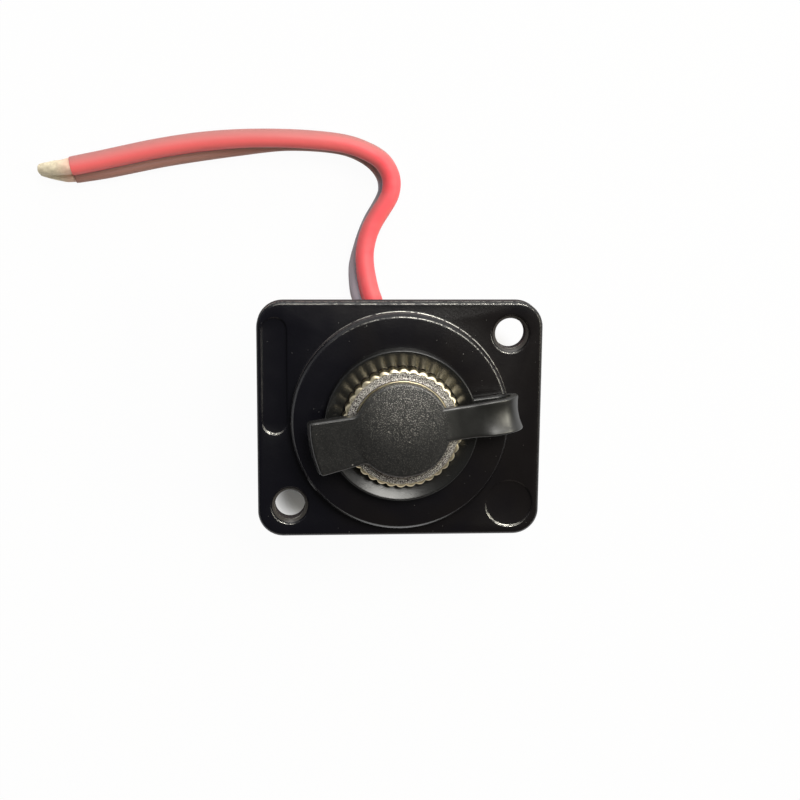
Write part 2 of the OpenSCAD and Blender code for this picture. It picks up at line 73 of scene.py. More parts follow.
# How a CAD node's edges are eased, in millimetres and degrees, and when a face counts as level or upright
WELD = 0.0005
EASED_OVER = 24.0
EASED_CREASE = 50.0
SQUARE_ON = 0.9999

# Handle of a curve that makes a quarter circle, as a share of its radius
QUARTER_HANDLE = 0.5523

Colour = tuple[float, float, float]
Value = Union["Wire", float, Sequence[float]]


# Shader maths


class Wire:
    """One output of a shader node, used in arithmetic as a number is."""

    def __init__(self, shader: "Shader", socket: bpy.types.NodeSocket) -> None:
        """Keep the socket and the shader that it belongs to."""
        self.shader = shader
        self.socket = socket

    def _maths(self, operation: str, first: Value, second: Value) -> "Wire":
        """One Math node on two values."""
        return self.shader.wire("ShaderNodeMath", {"operation": operation}, {0: first, 1: second})

    def __add__(self, other: Value) -> "Wire":
        """Sum."""
        return self._maths("ADD", self, other)

    def __sub__(self, other: Value) -> "Wire":
        """Difference."""
        return self._maths("SUBTRACT", self, other)

    def __rsub__(self, other: Value) -> "Wire":
        """Difference from a number."""
        return self._maths("SUBTRACT", other, self)

    def __mul__(self, other: Value) -> "Wire":
        """Product."""
        return self._maths("MULTIPLY", self, other)

    def __pow__(self, other: Value) -> "Wire":
        """Power."""
        return self._maths("POWER", self, other)

    __radd__ = __add__
    __rmul__ = __mul__

    def most(self, other: Value) -> "Wire":
        """The larger of two values."""
        return self._maths("MAXIMUM", self, other)

    def size(self) -> "Wire":
        """The value without its sign."""
        return self._maths("ABSOLUTE", self, 0.0)

    def sine(self) -> "Wire":
        """Sine of an angle in radians."""
        return self._maths("SINE", self, 0.0)

    def ramp(self, start: float, end: float) -> "Wire":
        """A smooth rise from 0 at start to 1 at end, which falls where end is below start."""
        return self.shader.wire(
            "ShaderNodeMapRange",
            {"interpolation_type": "SMOOTHSTEP"},
            {"Value": self, "From Min": start, "From Max": end},
        )


def reach_of(x: Wire, y: Wire) -> Wire:
    """How far away a place is that lies this far along X and along Y."""
    return (x * x + y * y) ** 0.5


class Shader:
    """The node tree of one material or of the sky, and the ways in which its nodes are made."""

    def __init__(self, owner: Union[str, bpy.types.World]) -> None:
        """Start with an empty tree.

        Args:
            owner: a name for a new material, or the world.
        """
        self.owner = bpy.data.materials.new(owner) if isinstance(owner, str) else owner
        self.owner.use_nodes = True
        self.tree = self.owner.node_tree
        self.tree.nodes.clear()

    def node(
        self,
        kind: str,
        settings: Optional[Mapping[str, Any]] = None,
        inputs: Optional[Mapping[Union[int, str], Value]] = None,
    ) -> bpy.types.Node:
        """Make one node.

        Args:
            kind: the node's Blender type.
            settings: its properties, which are set first.
            inputs: a value or a wire for each socket, by name or by number.

        Returns:
            The new node.
        """
        node = self.tree.nodes.new(kind)
        for key, value in (settings or {}).items():
            setattr(node, key, value)
        for key, value in (inputs or {}).items():
            socket = node.inputs[key]
            if isinstance(value, Wire):
                self.tree.links.new(value.socket, socket)
            elif socket.type == "RGBA":
                socket.default_value = (*value, 1.0)
            else:
                socket.default_value = value
        return node

    def wire(
        self,
        kind: str,
        settings: Optional[Mapping[str, Any]] = None,
        inputs: Optional[Mapping[Union[int, str], Value]] = None,
        output: Union[int, str] = 0,
    ) -> Wire:
        """Make one node and take one of its outputs.

        Args:
            kind: the node's Blender type.
            settings: its properties.
            inputs: a value or a wire for each socket.
            output: the output's name or number.

        Returns:
            That output.
        """
        return Wire(self, self.node(kind, settings, inputs).outputs[output])

    def place(self, stretch: Sequence[float] = (1.0, 1.0, 1.0)) -> Wire:
        """The point's place on the piece, in millimetres.

        Args:
            stretch: how much denser the pattern is along X, Y and Z.

        Returns:
            A vector.
        """
        here = self.wire("ShaderNodeTexCoord", output="Object")
        scale = [s / MM for s in stretch]
        return self.wire("ShaderNodeVectorMath", {"operation": "MULTIPLY"}, {0: here, 1: scale})

    def parts(self, vector: Wire) -> tuple[Wire, ...]:
        """X, Y and Z of a vector."""
        split = self.node("ShaderNodeSeparateXYZ", inputs={0: vector})
        return tuple(Wire(self, socket) for socket in split.outputs)

    def axes(self) -> tuple[Wire, ...]:
        """X, Y and Z of the point's place, in millimetres."""
        return self.parts(self.place())

    def noise(self, size: float, detail: float = 2.0, stretch: Sequence[float] = (1.0, 1.0, 1.0)) -> Wire:
        """Soft noise about 0.5.

        Args:
            size: size of its patches, in millimetres.
            detail: octaves of finer noise.
            stretch: how much denser it is along X, Y and Z.

        Returns:
            A value from 0 to 1.
        """
        return self.wire(
            "ShaderNodeTexNoise",
            inputs={"Vector": self.place(stretch), "Scale": 1 / size, "Detail": detail, "Roughness": 0.55},
        )

    def normal(self) -> Wire:
        """The surface's direction."""
        return self.wire("ShaderNodeNewGeometry", output="Normal")

    def facing(self) -> tuple[Wire, ...]:
        """X, Y and Z of the surface's direction."""
        return self.parts(self.normal())

    def cells(self, size: float, stretch: Sequence[float]) -> tuple[Wire, Wire]:
        """Random cells.

        Args:
            size: width of a cell, in millimetres.
            stretch: how much denser they are along X, Y and Z.

        Returns:
            The distance from a cell's middle, in cells, and a random value for each cell.
        """
        node = self.node("ShaderNodeTexVoronoi", inputs={"Vector": self.place(stretch), "Scale": 1 / size})
        chance = self.node("ShaderNodeSeparateColor", inputs={0: Wire(self, node.outputs["Color"])})
        return Wire(self, node.outputs["Distance"]), Wire(self, chance.outputs[0])

    def specks(
        self, spacing: float, radius: float, share: float, stretch: Sequence[float] = (1.0, 1.0, 1.0)
    ) -> Wire:
        """Small specks, such as dust, which are round where they aren't stretched.

        Args:
            spacing: distance between them, in millimetres.
            radius: radius of the largest, in millimetres.
            share: share of the places that hold one.
            stretch: how much denser they are along X, Y and Z.

        Returns:
            1 on a speck and 0 off it.
        """
        distance, chance = self.cells(spacing, stretch)
        return distance.ramp(radius / spacing, 0.5 * radius / spacing) * chance.ramp(1 - share, 1.01 - share)

    def mix(self, mask: Value, below: Value, above: Value) -> Wire:
        """A colour between two.

        Args:
            mask: 0 for below and 1 for above.
            below: a colour.
            above: a colour.

        Returns:
            The mixed colour.
        """
        return self.wire("ShaderNodeMix", {"data_type": "RGBA"}, {0: mask, 6: below, 7: above}, 2)

    def relief(self, height: Wire, depth: float, under: Optional[Wire] = None) -> Wire:
        """A bumpy normal.

        Args:
            height: height of the relief, from 0 to 1.
            depth: its depth, in millimetres.
            under: another normal that it lies on.

        Returns:
            The normal.
        """
        inputs: dict[Union[int, str], Value] = {"Height": height, "Distance": depth * MM}
        if under is not None:
            inputs["Normal"] = under
        return self.wire("ShaderNodeBump", inputs=inputs, output="Normal")

    def dot(self, first: Value, second: Value) -> Wire:
        """Dot product of two vectors."""
        return self.wire("ShaderNodeVectorMath", {"operation": "DOT_PRODUCT"}, {0: first, 1: second}, "Value")

    def rounded(self, radius: float) -> Wire:
        """A normal that rounds every edge by a radius, in millimetres."""
        return self.wire("ShaderNodeBevel", {"samples": 8}, {"Radius": radius * MM})

    def finish(self, inputs: Mapping[Union[int, str], Value]) -> bpy.types.Material:
        """Close the material with a Principled surface.

        Args:
            inputs: a value or a wire for each of its sockets.

        Returns:
            The material.
        """
        return self.close(self.wire("ShaderNodeBsdfPrincipled", inputs=inputs))

    def close(self, surface: Wire) -> bpy.types.Material:
        """Close the material with any surface."""
        self.node("ShaderNodeOutputMaterial", inputs={"Surface": surface})
        return self.owner

    def seen_by_eye(self) -> Wire:
        """Tell what is seen, directly, in a reflection or through glass, from light that falls.

        Returns:
            1 for what is seen and 0 for light that falls.
        """
        path = self.node("ShaderNodeLightPath")
        names = ("Is Camera Ray", "Is Glossy Ray", "Is Transmission Ray")
        camera, glossy, clear = (Wire(self, path.outputs[name]) for name in names)
        return camera.most(glossy).most(clear)


# Finishes


@dataclass(frozen=True)
class BlackCoat:
    """Satin black coat of the flange plate, thin and dull on its sides, with a little dust and lint on it,
    and pale rubbed edges that are partly a painted highlight.
    """

    deep: Colour = (0.0035, 0.0034, 0.0058)
    warm: Colour = (0.0060, 0.0048, 0.0048)
    dust: Colour = (0.32, 0.31, 0.29)
    dull: Colour = (0.066, 0.058, 0.060)
    # Pale metal of the rubbed edges, which also stands in for their highlight: a painted highlight
    rubbed_highlight: Colour = (0.78, 0.76, 0.68)
    cone: Colour = (0.055, 0.050, 0.046)
    hole: tuple[float, float] = (12.0, 9.5)
    hole_r: float = 2.0
    hole_rim: float = 0.08
    roughness: float = 0.20
    rounding: float = 0.22
    # Direction of the window lamp: only edges that face it get the rubbed colour, a painted highlight
    highlight_side: tuple[float, float, float] = (0.35, 0.94, 0.0)

    def in_hole(self, x: Wire, y: Wire) -> Wire:
        """1 inside the bevelled mouth of the hole on one side."""
        reach = reach_of(x - self.hole[0], y - self.hole[1])
        return reach.ramp(self.hole_r, self.hole_r - self.hole_rim)

    def build(self) -> bpy.types.Material:
        """Make the material.

        Returns:
            The material.
        """
        shader = Shader("flange_coat")
        x, y, _ = shader.axes()
        patches = shader.noise(9.0) + 0.02 * x
        dust = shader.specks(1.7, 0.085, 0.24).most(shader.specks(0.55, 0.045, 0.26) * 0.38)
        lint = shader.specks(3.0, 0.10, 0.22, (2.4, 0.25, 1.0))
        lint = lint.most(shader.specks(3.4, 0.10, 0.20, (0.3, 2.3, 1.0)))
        dust = dust.most(lint * 0.6)
        colour = shader.mix(patches.ramp(0.30, 0.75), self.deep, self.warm)
        colour = shader.mix(self.in_hole(x, y).most(self.in_hole(0 - x, 0 - y)), colour, self.cone)
        eased = shader.rounded(self.rounding)
        # Rubbed bare-metal edges, kept to the edges that face the window lamp: partly wear, partly a painted
        # highlight
        edge = (1 - shader.dot(eased, shader.normal())).ramp(0.006, 0.042)
        rubbed_highlight = edge * shader.noise(0.45, 3.0).ramp(0.40, 0.54)
        rubbed_highlight = rubbed_highlight * shader.dot(eased, self.highlight_side).ramp(0.22, 0.50)
        peel = shader.relief(shader.noise(0.34, 1.0), 0.0060, eased)
        grain = shader.relief(shader.noise(0.075, 1.0), 0.0022, peel)
        coat = shader.wire("ShaderNodeBsdfPrincipled", inputs={
            "Base Color": shader.mix(dust, shader.mix(rubbed_highlight, colour, self.rubbed_highlight), self.dust),
            "Metallic": rubbed_highlight,
            "Roughness": self.roughness + 0.10 * shader.noise(2.2) + 0.3 * dust,
            "Specular IOR Level": 0.46,
            "Normal": grain,
        })
        dull = shader.wire("ShaderNodeBsdfDiffuse", inputs={"Color": self.dull})
        share = shader.facing()[2].size().ramp(0.45, 0.15)
        return shader.close(shader.wire("ShaderNodeMixShader", inputs={0: share, 1: coat, 2: dull}))


@dataclass(frozen=True)
class MouldedPlastic:
    """Moulded plastic or rubber with a fine grain."""

    name: str
    colour: Colour
    shade: Colour
    roughness: float = 0.5
    grain: float = 0.12
    depth: float = 0.006
    specular: float = 0.5

    def build(self) -> bpy.types.Material:
        """Make the material.

        Returns:
            The material.
        """
        shader = Shader(self.name)
        colour = shader.mix(shader.noise(3.0).ramp(0.35, 0.68), self.colour, self.shade)
        flow = shader.noise(1.1, 3.0)
        return shader.finish({
            "Base Color": colour,
            "Roughness": self.roughness + 0.14 * (flow - 0.5),
            "Specular IOR Level": self.specular,
            "Normal": shader.relief(shader.noise(self.grain, 2.0), self.depth),
        })


@dataclass(frozen=True)
class CapRubber:
    """Rubber of the dust cap: matt and speckled on the disc, smoother on the strap and the tab. The pale
    speckles are partly painted glints, and they gather in a painted highlight towards the top of the disc.
    """

    disc: Colour = (0.0030, 0.0030, 0.0028)
    strap: Colour = (0.0056, 0.0056, 0.0046)
    # Pale speckles of the grain, partly painted glints, and a patch towards the top of the disc where they
    # gather: a painted highlight
    speckle_glint: Colour = (0.42, 0.40, 0.36)
    highlight_at: tuple[float, float] = (0.4, 3.3)
    highlight_r: float = 6.0
    highlight_full: float = 0.5
    strap_angle: float = 7.5
    strap_from: tuple[float, float] = (4.5, 5.3)
    tab_angle: float = 192.3
    tab_from: tuple[float, float] = (2.5, 5.8)

    @staticmethod
    def outwards(x: Wire, y: Wire, angle: float) -> Wire:
        """Distance from the cap's middle in one direction, in millimetres."""
        return x * math.cos(math.radians(angle)) + y * math.sin(math.radians(angle))

    def build(self) -> bpy.types.Material:
        """Make the material.

        Returns:
            The material.
        """
        shader = Shader("cap_rubber")
        x, y, _ = shader.axes()
        smooth = self.outwards(x, y, self.strap_angle).ramp(*self.strap_from)
        tab = self.outwards(x, y, self.tab_angle).ramp(*self.tab_from)
        # Painted highlight: a patch towards the top of the disc, where the speckles gather and the grain is
        # deeper
        reach = reach_of(x - self.highlight_at[0], y - self.highlight_at[1])
        highlight_patch = (reach + 2.0 * (shader.noise(1.6) - 0.5)).ramp(self.highlight_r, self.highlight_full)
        # Speckles of the grain, partly painted glints
        grain = shader.noise(0.105, 1.0)
        speckle_glints = grain.ramp(0.55, 0.66) * (0.12 + 0.88 * highlight_patch) * (1 - 0.3 * tab)
        spark_glints = shader.specks(0.75, 0.095, 0.17)
        mask = (speckle_glints * 0.78).most(spark_glints * 0.62) * (1 - smooth)
        colour = shader.mix(mask, shader.mix(smooth, self.disc, self.strap), self.speckle_glint)
        coarse = shader.relief(grain * (1 - 0.72 * smooth) * (0.6 + 0.4 * highlight_patch) * (1 - 0.35 * tab), 0.034)
        fine = shader.relief(shader.noise(0.45, 3.0), 0.006, coarse)
        return shader.finish({
            "Base Color": colour,
            "Roughness": 0.39 - 0.04 * smooth.most(tab) + 0.12 * (shader.noise(0.9, 3.0) - 0.5),
            "Specular IOR Level": 0.85,
            "Normal": fine,
        })


@dataclass(frozen=True)
class RingRubber:
    """Glossier rubber of the retaining ring."""

    colour: Colour = (0.0105, 0.0105, 0.0102)
    scuff: Colour = (0.08, 0.078, 0.072)

    def build(self) -> bpy.types.Material:
        """Make the material.

        Returns:
            The material.
        """
        shader = Shader("ring_rubber")
        scuffs = shader.noise(0.8, 4.0, (1.0, 2.4, 1.0)).ramp(0.62, 0.74)
        dust = shader.specks(1.3, 0.07, 0.14)
        colour = shader.mix((scuffs * 0.25).most(dust), self.colour, self.scuff)
        return shader.finish({
            "Base Color": colour,
            "Roughness": 0.17 + 0.09 * shader.noise(1.4, 3.0) + 0.2 * dust,
            "Specular IOR Level": 0.46,
            "Normal": shader.relief(shader.noise(0.30, 2.0), 0.0035),
        })


@dataclass(frozen=True)
class NutPlating:
    """Yellowish bright plating of the ring nut, with a grainy front face."""

    bright: Colour = (0.90, 0.79, 0.55)
    pale: Colour = (0.70, 0.68, 0.62)
    dark: Colour = (0.055, 0.043, 0.048)
    face_in: float = 5.16
    face_out: float = 6.10
    face_z: float = 20.25
    soft_in: float = 0.12
    soft_out: float = 0.10
    soft_z: float = 0.05

    def build(self) -> bpy.types.Material:
        """Make the material.

        Returns:
            The material.
        """
        shader = Shader("nut_plating")
        x, y, z = shader.axes()
        reach = reach_of(x, y)
        face = reach.ramp(self.face_in, self.face_in + self.soft_in)
        face = face * reach.ramp(self.face_out, self.face_out - self.soft_out)
        face = face * z.ramp(self.face_z - self.soft_z, self.face_z)
        pits = shader.noise(0.085, 2.0)
        grains = shader.mix(pits.ramp(0.47, 0.60), self.dark, self.pale)
        colour = shader.mix(face, self.bright, grains)
        rough = shader.relief(pits * face, 0.040)
        smooth = shader.relief(shader.noise(0.3, 2.0), 0.006, rough)
        return shader.finish({
            "Base Color": colour,
            "Metallic": 1.0,
            "Roughness": 0.24 + 0.17 * face + 0.10 * shader.noise(0.5, 2.0),
            "Normal": smooth,
        })


@dataclass(frozen=True)
class TurnedMetal:
    """Plated, turned or stamped metal."""

    name: str
    colour: Colour
    tarnish: Colour
    roughness: float = 0.28
    rings: float = 0.0

    def build(self) -> bpy.types.Material:
        """Make the material.

        Returns:
            The material.
        """
        shader = Shader(self.name)
        stains = shader.noise(1.2, 4.0)
        colour = shader.mix(stains.ramp(0.40, 0.72), self.colour, self.tarnish)
        marks = shader.noise(0.14, 3.0)
        if self.rings:
            turned = (shader.axes()[2] * (2 * math.pi / self.rings)).sine()
            marks = marks * 0.35 + 0.5 * turned
        return shader.finish({
            "Base Color": colour,
            "Metallic": 1.0,
            "Roughness": self.roughness + 0.20 * (stains - 0.4),
            "Normal": shader.relief(marks, 0.005),
        })


@dataclass(frozen=True)
class Insulation:
    """Soft hazy insulation of one conductor, with painted shade and sheen on the side facing +Y, painted
    light on the side facing -Y, and more of both along the far run.
    """

    name: str
    colour: Colour
    bloom: Colour
    # back: painted shade and sheen for the side facing +Y. front: painted light for the side facing -Y, also
    # laid along the far run
    back: Colour
    front: Colour
    roughness: float = 0.46
    bloom_share: float = 0.35
    far_run: tuple[float, float] = (-2.0, -10.0)
    far_share: float = 0.6

    def build(self) -> bpy.types.Material:
        """Make the material.

        Returns:
            The material.
        """
        shader = Shader(self.name)
        wear = shader.noise(2.6, 3.0, (0.45, 1.0, 1.0)).ramp(0.38, 0.75)
        dots = shader.specks(0.9, 0.06, 0.10)
        # Colour by facing: painted shade and sheen where the insulation faces +Y, towards the lamps, and
        # painted light where it faces -Y
        side = shader.facing()[1]
        colour = shader.mix(wear * self.bloom_share + dots * 0.25, self.colour, self.bloom)
        # Along the far run: more of the front colour, and painted shade over most of its top
        far = shader.axes()[0].ramp(*self.far_run)
        colour = shader.mix(far * self.far_share, colour, self.front)
        colour = shader.mix(side.ramp(-0.10, 0.95).most(far * side.ramp(-0.70, 1.0)), colour, self.back)
        colour = shader.mix(side.ramp(0.05, -0.60), colour, self.front)
        ripple = shader.relief(shader.noise(0.8, 2.0), 0.020)
        return shader.finish({
            "Base Color": colour,
            "Roughness": self.roughness + 0.12 * shader.noise(0.7, 2.0),
            "Specular IOR Level": 0.28,
            "Normal": shader.relief(shader.noise(0.11, 2.0), 0.005, ripple),
        })


@dataclass(frozen=True)
class TinnedStrands:
    """Dull solder-tinned copper of the stripped ends."""

    colour: Colour = (0.88, 0.78, 0.58)
    shade: Colour = (0.76, 0.66, 0.48)
    root_tint: Colour = (0.84, 0.50, 0.40)
    root_span: tuple[float, float] = (-38.6, -36.4)
    root_share: float = 0.7

    def build(self) -> bpy.types.Material:
        """Make the material.

        Returns:
            The material.
        """
        shader = Shader("tinned_strands")
        lumps = shader.noise(0.35, 3.0)
        # Pinker towards the insulation
        root = shader.axes()[0].ramp(*self.root_span) * self.root_share
        colour = shader.mix(lumps.ramp(0.35, 0.65), self.shade, self.colour)
        return shader.finish({
            "Base Color": shader.mix(root, colour, self.root_tint),
            "Metallic": 0.10,
            "Roughness": 0.50 + 0.2 * lumps,
            "Normal": shader.relief(lumps, 0.02),
        })


@dataclass(frozen=True)
class PaleFloor:
    """Plain pale floor, white to the eye, that keeps the socket's shadow, deep only under the plate."""

    colour: Colour = (0.74, 0.74, 0.73)
    glow: float = 0.96
    shade_middle: tuple[float, float] = (0.0, -4.2)
    shade_half: tuple[float, float] = (16.0, 13.2)
    shade_corner: float = 6.0
    shade_edge: float = 3.4

    def build(self) -> bpy.types.Material:
        """Make the material.

        Returns:
            The material.
        """
        shader = Shader("pale_floor")
        out_x, out_y = (
            ((axis - middle).size() - (half - self.shade_corner)).most(0.0)
            for axis, middle, half in zip(shader.axes(), self.shade_middle, self.shade_half)
        )
        clear = reach_of(out_x, out_y).ramp(self.shade_corner - self.shade_edge, self.shade_corner)
        matt = shader.wire("ShaderNodeBsdfDiffuse", inputs={"Color": self.colour})
        light = shader.wire("ShaderNodeEmission", inputs={"Color": (1.0, 1.0, 1.0), "Strength": 1.0})
        share = shader.seen_by_eye() * clear * self.glow
        both = shader.wire("ShaderNodeMixShader", inputs={0: share, 1: matt, 2: light})
        return shader.close(both)


class Look(Enum):
    """Every finish of the socket."""

    COAT = BlackCoat()
    COVER = MouldedPlastic("cover_plastic", (0.016, 0.016, 0.018), (0.022, 0.021, 0.022), 0.50, 0.16, 0.010)
    GROMMET = MouldedPlastic("grommet_rubber", (0.02, 0.02, 0.02), (0.03, 0.029, 0.028), 0.62, 0.20, 0.008)
    WASHER = MouldedPlastic("washer_rubber", (0.024, 0.024, 0.024), (0.034, 0.033, 0.032), 0.70, 0.10, 0.008)
    CAP = CapRubber()
    RING = RingRubber()
    NUT = NutPlating()
    BARREL = TurnedMetal("barrel_plating", (0.74, 0.70, 0.60), (0.52, 0.47, 0.38), 0.32, 0.16)
    BRASS = TurnedMetal("contact_brass", (0.86, 0.72, 0.40), (0.62, 0.46, 0.22), 0.24)
    INSULATOR = MouldedPlastic("insulator_plastic", (0.72, 0.68, 0.58), (0.62, 0.57, 0.46), 0.48, 0.22, 0.006)
    SOLDER = TurnedMetal("solder", (0.72, 0.72, 0.70), (0.50, 0.49, 0.47), 0.30)
    RED = Insulation(
        "red_insulation", colour=(0.97, 0.098, 0.118), bloom=(0.86, 0.17, 0.18), back=(0.45, 0.175, 0.165),
        front=(0.95, 0.17, 0.17), roughness=0.42, bloom_share=0.45,
    )
    # The black insulation is coloured a light lilac grey, which paints in the light that makes it look grey;
    # its front colour is a painted reddish bounce from the red conductor
    BLACK = Insulation(
        "black_insulation", colour=(0.40, 0.385, 0.46), bloom=(0.45, 0.43, 0.50), back=(0.26, 0.21, 0.21),
        front=(0.42, 0.21, 0.17), roughness=0.44, bloom_share=0.6,
    )
    STRANDS = TinnedStrands()
    FLOOR = PaleFloor()

    def paint(self, piece: bpy.types.Object) -> None:
        """Put this finish on a piece.

        Args:
            piece: a piece or a CAD node.
        """
        made = bpy.data.materials.get(PAINTED.get(self, ""))
        if made is None:
            made = self.value.build()
            PAINTED[self] = made.name
            log.info("finish %s", made.name)
        piece.data.materials.clear()
        piece.data.materials.append(made)


PAINTED: dict[Look, str] = {}


# Meshes


def full_turn(sides: int) -> np.ndarray:
    """Angles spread evenly round a full turn, in radians."""
    return np.linspace(0, 2 * math.pi, sides, endpoint=False)


def smooth_rise(share: np.ndarray) -> np.ndarray:
    """A rise from 0 to 1 that is level at both ends, over shares from 0 to 1."""
    return share**2 * (3 - 2 * share)


def circled(
    turn: np.ndarray, radius: Union[float, np.ndarray], height: Union[float, np.ndarray]
) -> np.ndarray:
    """A closed row of points about the bore's axis.

    Args:
        turn: their directions, in radians.
        radius: their distance from the axis, one for all or one for each.
        height: their height, one for all or one for each.

    Returns:
        The points.
    """
    return np.stack([radius * np.cos(turn), radius * np.sin(turn), np.broadcast_to(height, turn.shape)], 1)


def fan(turn: np.ndarray, side: np.ndarray, top: np.ndarray) -> np.ndarray:
    """Directions square to a path, all round each of its points.

    Args:
        turn: angles from side towards top, in radians.
        side: a unit vector for each point of the path.
        top: another for each, square to the first and to the path.

    Returns:
        A unit vector for each point and angle.
    """
    return np.cos(turn)[None, :, None] * side[:, None] + np.sin(turn)[None, :, None] * top[:, None]


def along(points: np.ndarray) -> np.ndarray:
    """Headings of a path.

    Args:
        points: its points.

    Returns:
        A unit vector for each point.
    """
    ahead = np.vstack([points[1:], points[-1:]]) - np.vstack([points[:1], points[:-1]])
    return ahead / np.linalg.norm(ahead, axis=1)[:, None]


def across(headings: np.ndarray) -> np.ndarray:
    """Level vectors to the right of a path.

    Args:
        headings: the path's headings.

    Returns:
        A unit vector for each heading.
    """
    side = np.stack([headings[:, 1], -headings[:, 0], np.zeros(len(headings))], 1)
    return side / np.linalg.norm(side, axis=1)[:, None]


def finer(points: np.ndarray, steps: int) -> np.ndarray:
    """A smooth curve through points.

    Args:
        points: the points, which stay on the curve.
        steps: pieces between each two.

    Returns:
        The curve's points.
    """
    ends = np.vstack([2 * points[0] - points[1], points, 2 * points[-1] - points[-2]])
    out = []
    for a, b, c, d in zip(ends, ends[1:], ends[2:], ends[3:]):
        for t in np.arange(steps) / steps:
            square, cube = 2 * a - 5 * b + 4 * c - d, 3 * b - a - 3 * c + d
            out.append(0.5 * (2 * b + (c - a) * t + square * t**2 + cube * t**3))
    out.append(points[-1])
    return np.array(out)


def arc(
    centre: Sequence[float], radius: float, start: float, end: float, steps: int
) -> list[tuple[float, float]]:
    """Points of an arc.

    Args:
        centre: its middle.
        radius: its radius.
        start: angle at which it starts, in degrees.
        end: angle at which it ends, in degrees.
        steps: pieces of the arc.

    Returns:
        Its points.
    """
    angles = np.radians(np.linspace(start, end, steps + 1))
    return [(centre[0] + radius * math.cos(a), centre[1] + radius * math.sin(a)) for a in angles]


class Draft:
    """Points, in millimetres, and faces of a piece that is being made."""

    def __init__(self) -> None:
        """Start with nothing."""
        self.points: list[np.ndarray] = []
        self.faces: list[tuple[int, ...]] = []
        self.count = 0

    def skin(self, rows: np.ndarray, looped: bool = False) -> "Draft":
        """Add a surface over rows of points.

        Args:
            rows: closed rows of points, of shape (rows, points in a row, 3).
            looped: whether the last row joins the first. If not, both are filled.

        Returns:
            This draft.
        """
        n, m = rows.shape[:2]
        base = self.count
        self.points.append(rows.reshape(-1, 3))
        self.count += n * m
        for i in range(n if looped else n - 1):
            a, b = base + i * m, base + (i + 1) % n * m
            self.faces += [(a + k, a + (k + 1) % m, b + (k + 1) % m, b + k) for k in range(m)]
        if not looped:
            self.faces.append(tuple(range(base + m - 1, base - 1, -1)))
            self.faces.append(tuple(base + (n - 1) * m + k for k in range(m)))
        return self

    def turned(self, profile: Sequence[tuple[float, float]], sides: int) -> "Draft":
        """Add a closed profile turned about the bore's axis.

        Args:
            profile: points of radius and height, in a closed loop.
            sides: number of sides.

        Returns:
            This draft.
        """
        turn = full_turn(sides)
        rows = [[(r * math.cos(a), r * math.sin(a), z) for a in turn] for r, z in profile]
        return self.skin(np.array(rows), looped=True)

    def make(self, name: str, look: Look, crease: float) -> bpy.types.Object:
        """Turn the draft into a piece.

        Args:
            name: the piece's name.
            look: its finish.
            crease: edges sharper than this many degrees stay sharp.

        Returns:
            The piece, in metres.
        """
        mesh = bpy.data.meshes.new(name)
        mesh.from_pydata((np.vstack(self.points) * MM).tolist(), [], self.faces)
        shape = bmesh.new()
        shape.from_mesh(mesh)
        bmesh.ops.recalc_face_normals(shape, faces=shape.faces)
        shape.to_mesh(mesh)
        shape.free()
        mesh.shade_smooth()
        mesh.set_sharp_from_angle(angle=math.radians(crease))
        return placed(name, mesh, look)


def placed(name: str, mesh: bpy.types.Mesh, look: Look) -> bpy.types.Object:
    """Put a mesh in the scene.

    Args:
        name: the piece's name.
        mesh: its mesh, in metres.
        look: its finish.

    Returns:
        The piece.
    """
    piece = bpy.data.objects.new(name, mesh)
    bpy.context.scene.collection.objects.link(piece)
    look.paint(piece)
    log.info("piece %s: %d faces", name, len(mesh.polygons))
    return piece


def eased_copy(
    node: bpy.types.Object,
    name: str,
    look: Look,
    width: float,
    adjust: Optional[Callable[[bmesh.types.BMesh], None]] = None,
) -> bpy.types.Object:
    """A copy of a CAD node with its sharp edges rounded.

    Args:
        node: the CAD node.
        name: the copy's name.
        look: its finish.
        width: width of the rounding, in millimetres.
        adjust: changes the shape before its edges are rounded.

    Returns:
        The copy.
    """
    mesh = bpy.data.meshes.new(name)
    shape = bmesh.new()
    shape.from_mesh(node.data)
    bmesh.ops.remove_doubles(shape, verts=shape.verts, dist=WELD * MM)
    if adjust:
        adjust(shape)
    limit = math.radians(EASED_OVER)
    sharp = [e for e in shape.edges if len(e.link_faces) == 2 and e.calc_face_angle(0.0) > limit]
    bmesh.ops.bevel(
        shape, geom=sharp, offset=width * MM, offset_type="OFFSET", segments=3, profile=0.5, affect="EDGES",
        clamp_overlap=True,
    )
    shape.normal_update()
    for face in shape.faces:
        face.smooth = max(abs(part) for part in face.normal) < SQUARE_ON
    shape.to_mesh(mesh)
    shape.free()
    if "custom_normal" in mesh.attributes:
        mesh.attributes.remove(mesh.attributes["custom_normal"])
    mesh.set_sharp_from_angle(angle=math.radians(EASED_CREASE))
    return placed(name, mesh, look)


# Sub-assemblies


@dataclass
class Sight:
    """Camera that stands where the photograph was taken from."""

    lens: float = 64.739
    sensor: float = 36.0
    clip: tuple[float, float] = (0.005, 20.0)
    tilt: float = 0.1933
    turn: float = 0.0662
    roll: float = 0.0048
    offset: tuple[float, float, float] = (0.0303, 2.2045, 157.0238)
    front_z: float = 16.0

    def build(self) -> bpy.types.Object:
        """The camera, in its place and set as the scene's own.

        Returns:
            The camera.
        """
        data = bpy.data.cameras.new("camera")
        data.sensor_width = self.sensor
        data.lens = self.lens
        data.clip_start, data.clip_end = self.clip
        camera = bpy.data.objects.new("camera", data)
        bpy.context.scene.collection.objects.link(camera)
        turned = Euler((self.tilt, self.turn, self.roll), "XYZ").to_matrix().transposed()
        camera.rotation_euler = turned.to_euler()
        camera.location = (turned @ Vector(self.offset) + Vector((0, 0, self.front_z))) * MM
        bpy.context.scene.camera = camera
        log.info("camera at %s", [round(v, 4) for v in camera.location])
        return camera


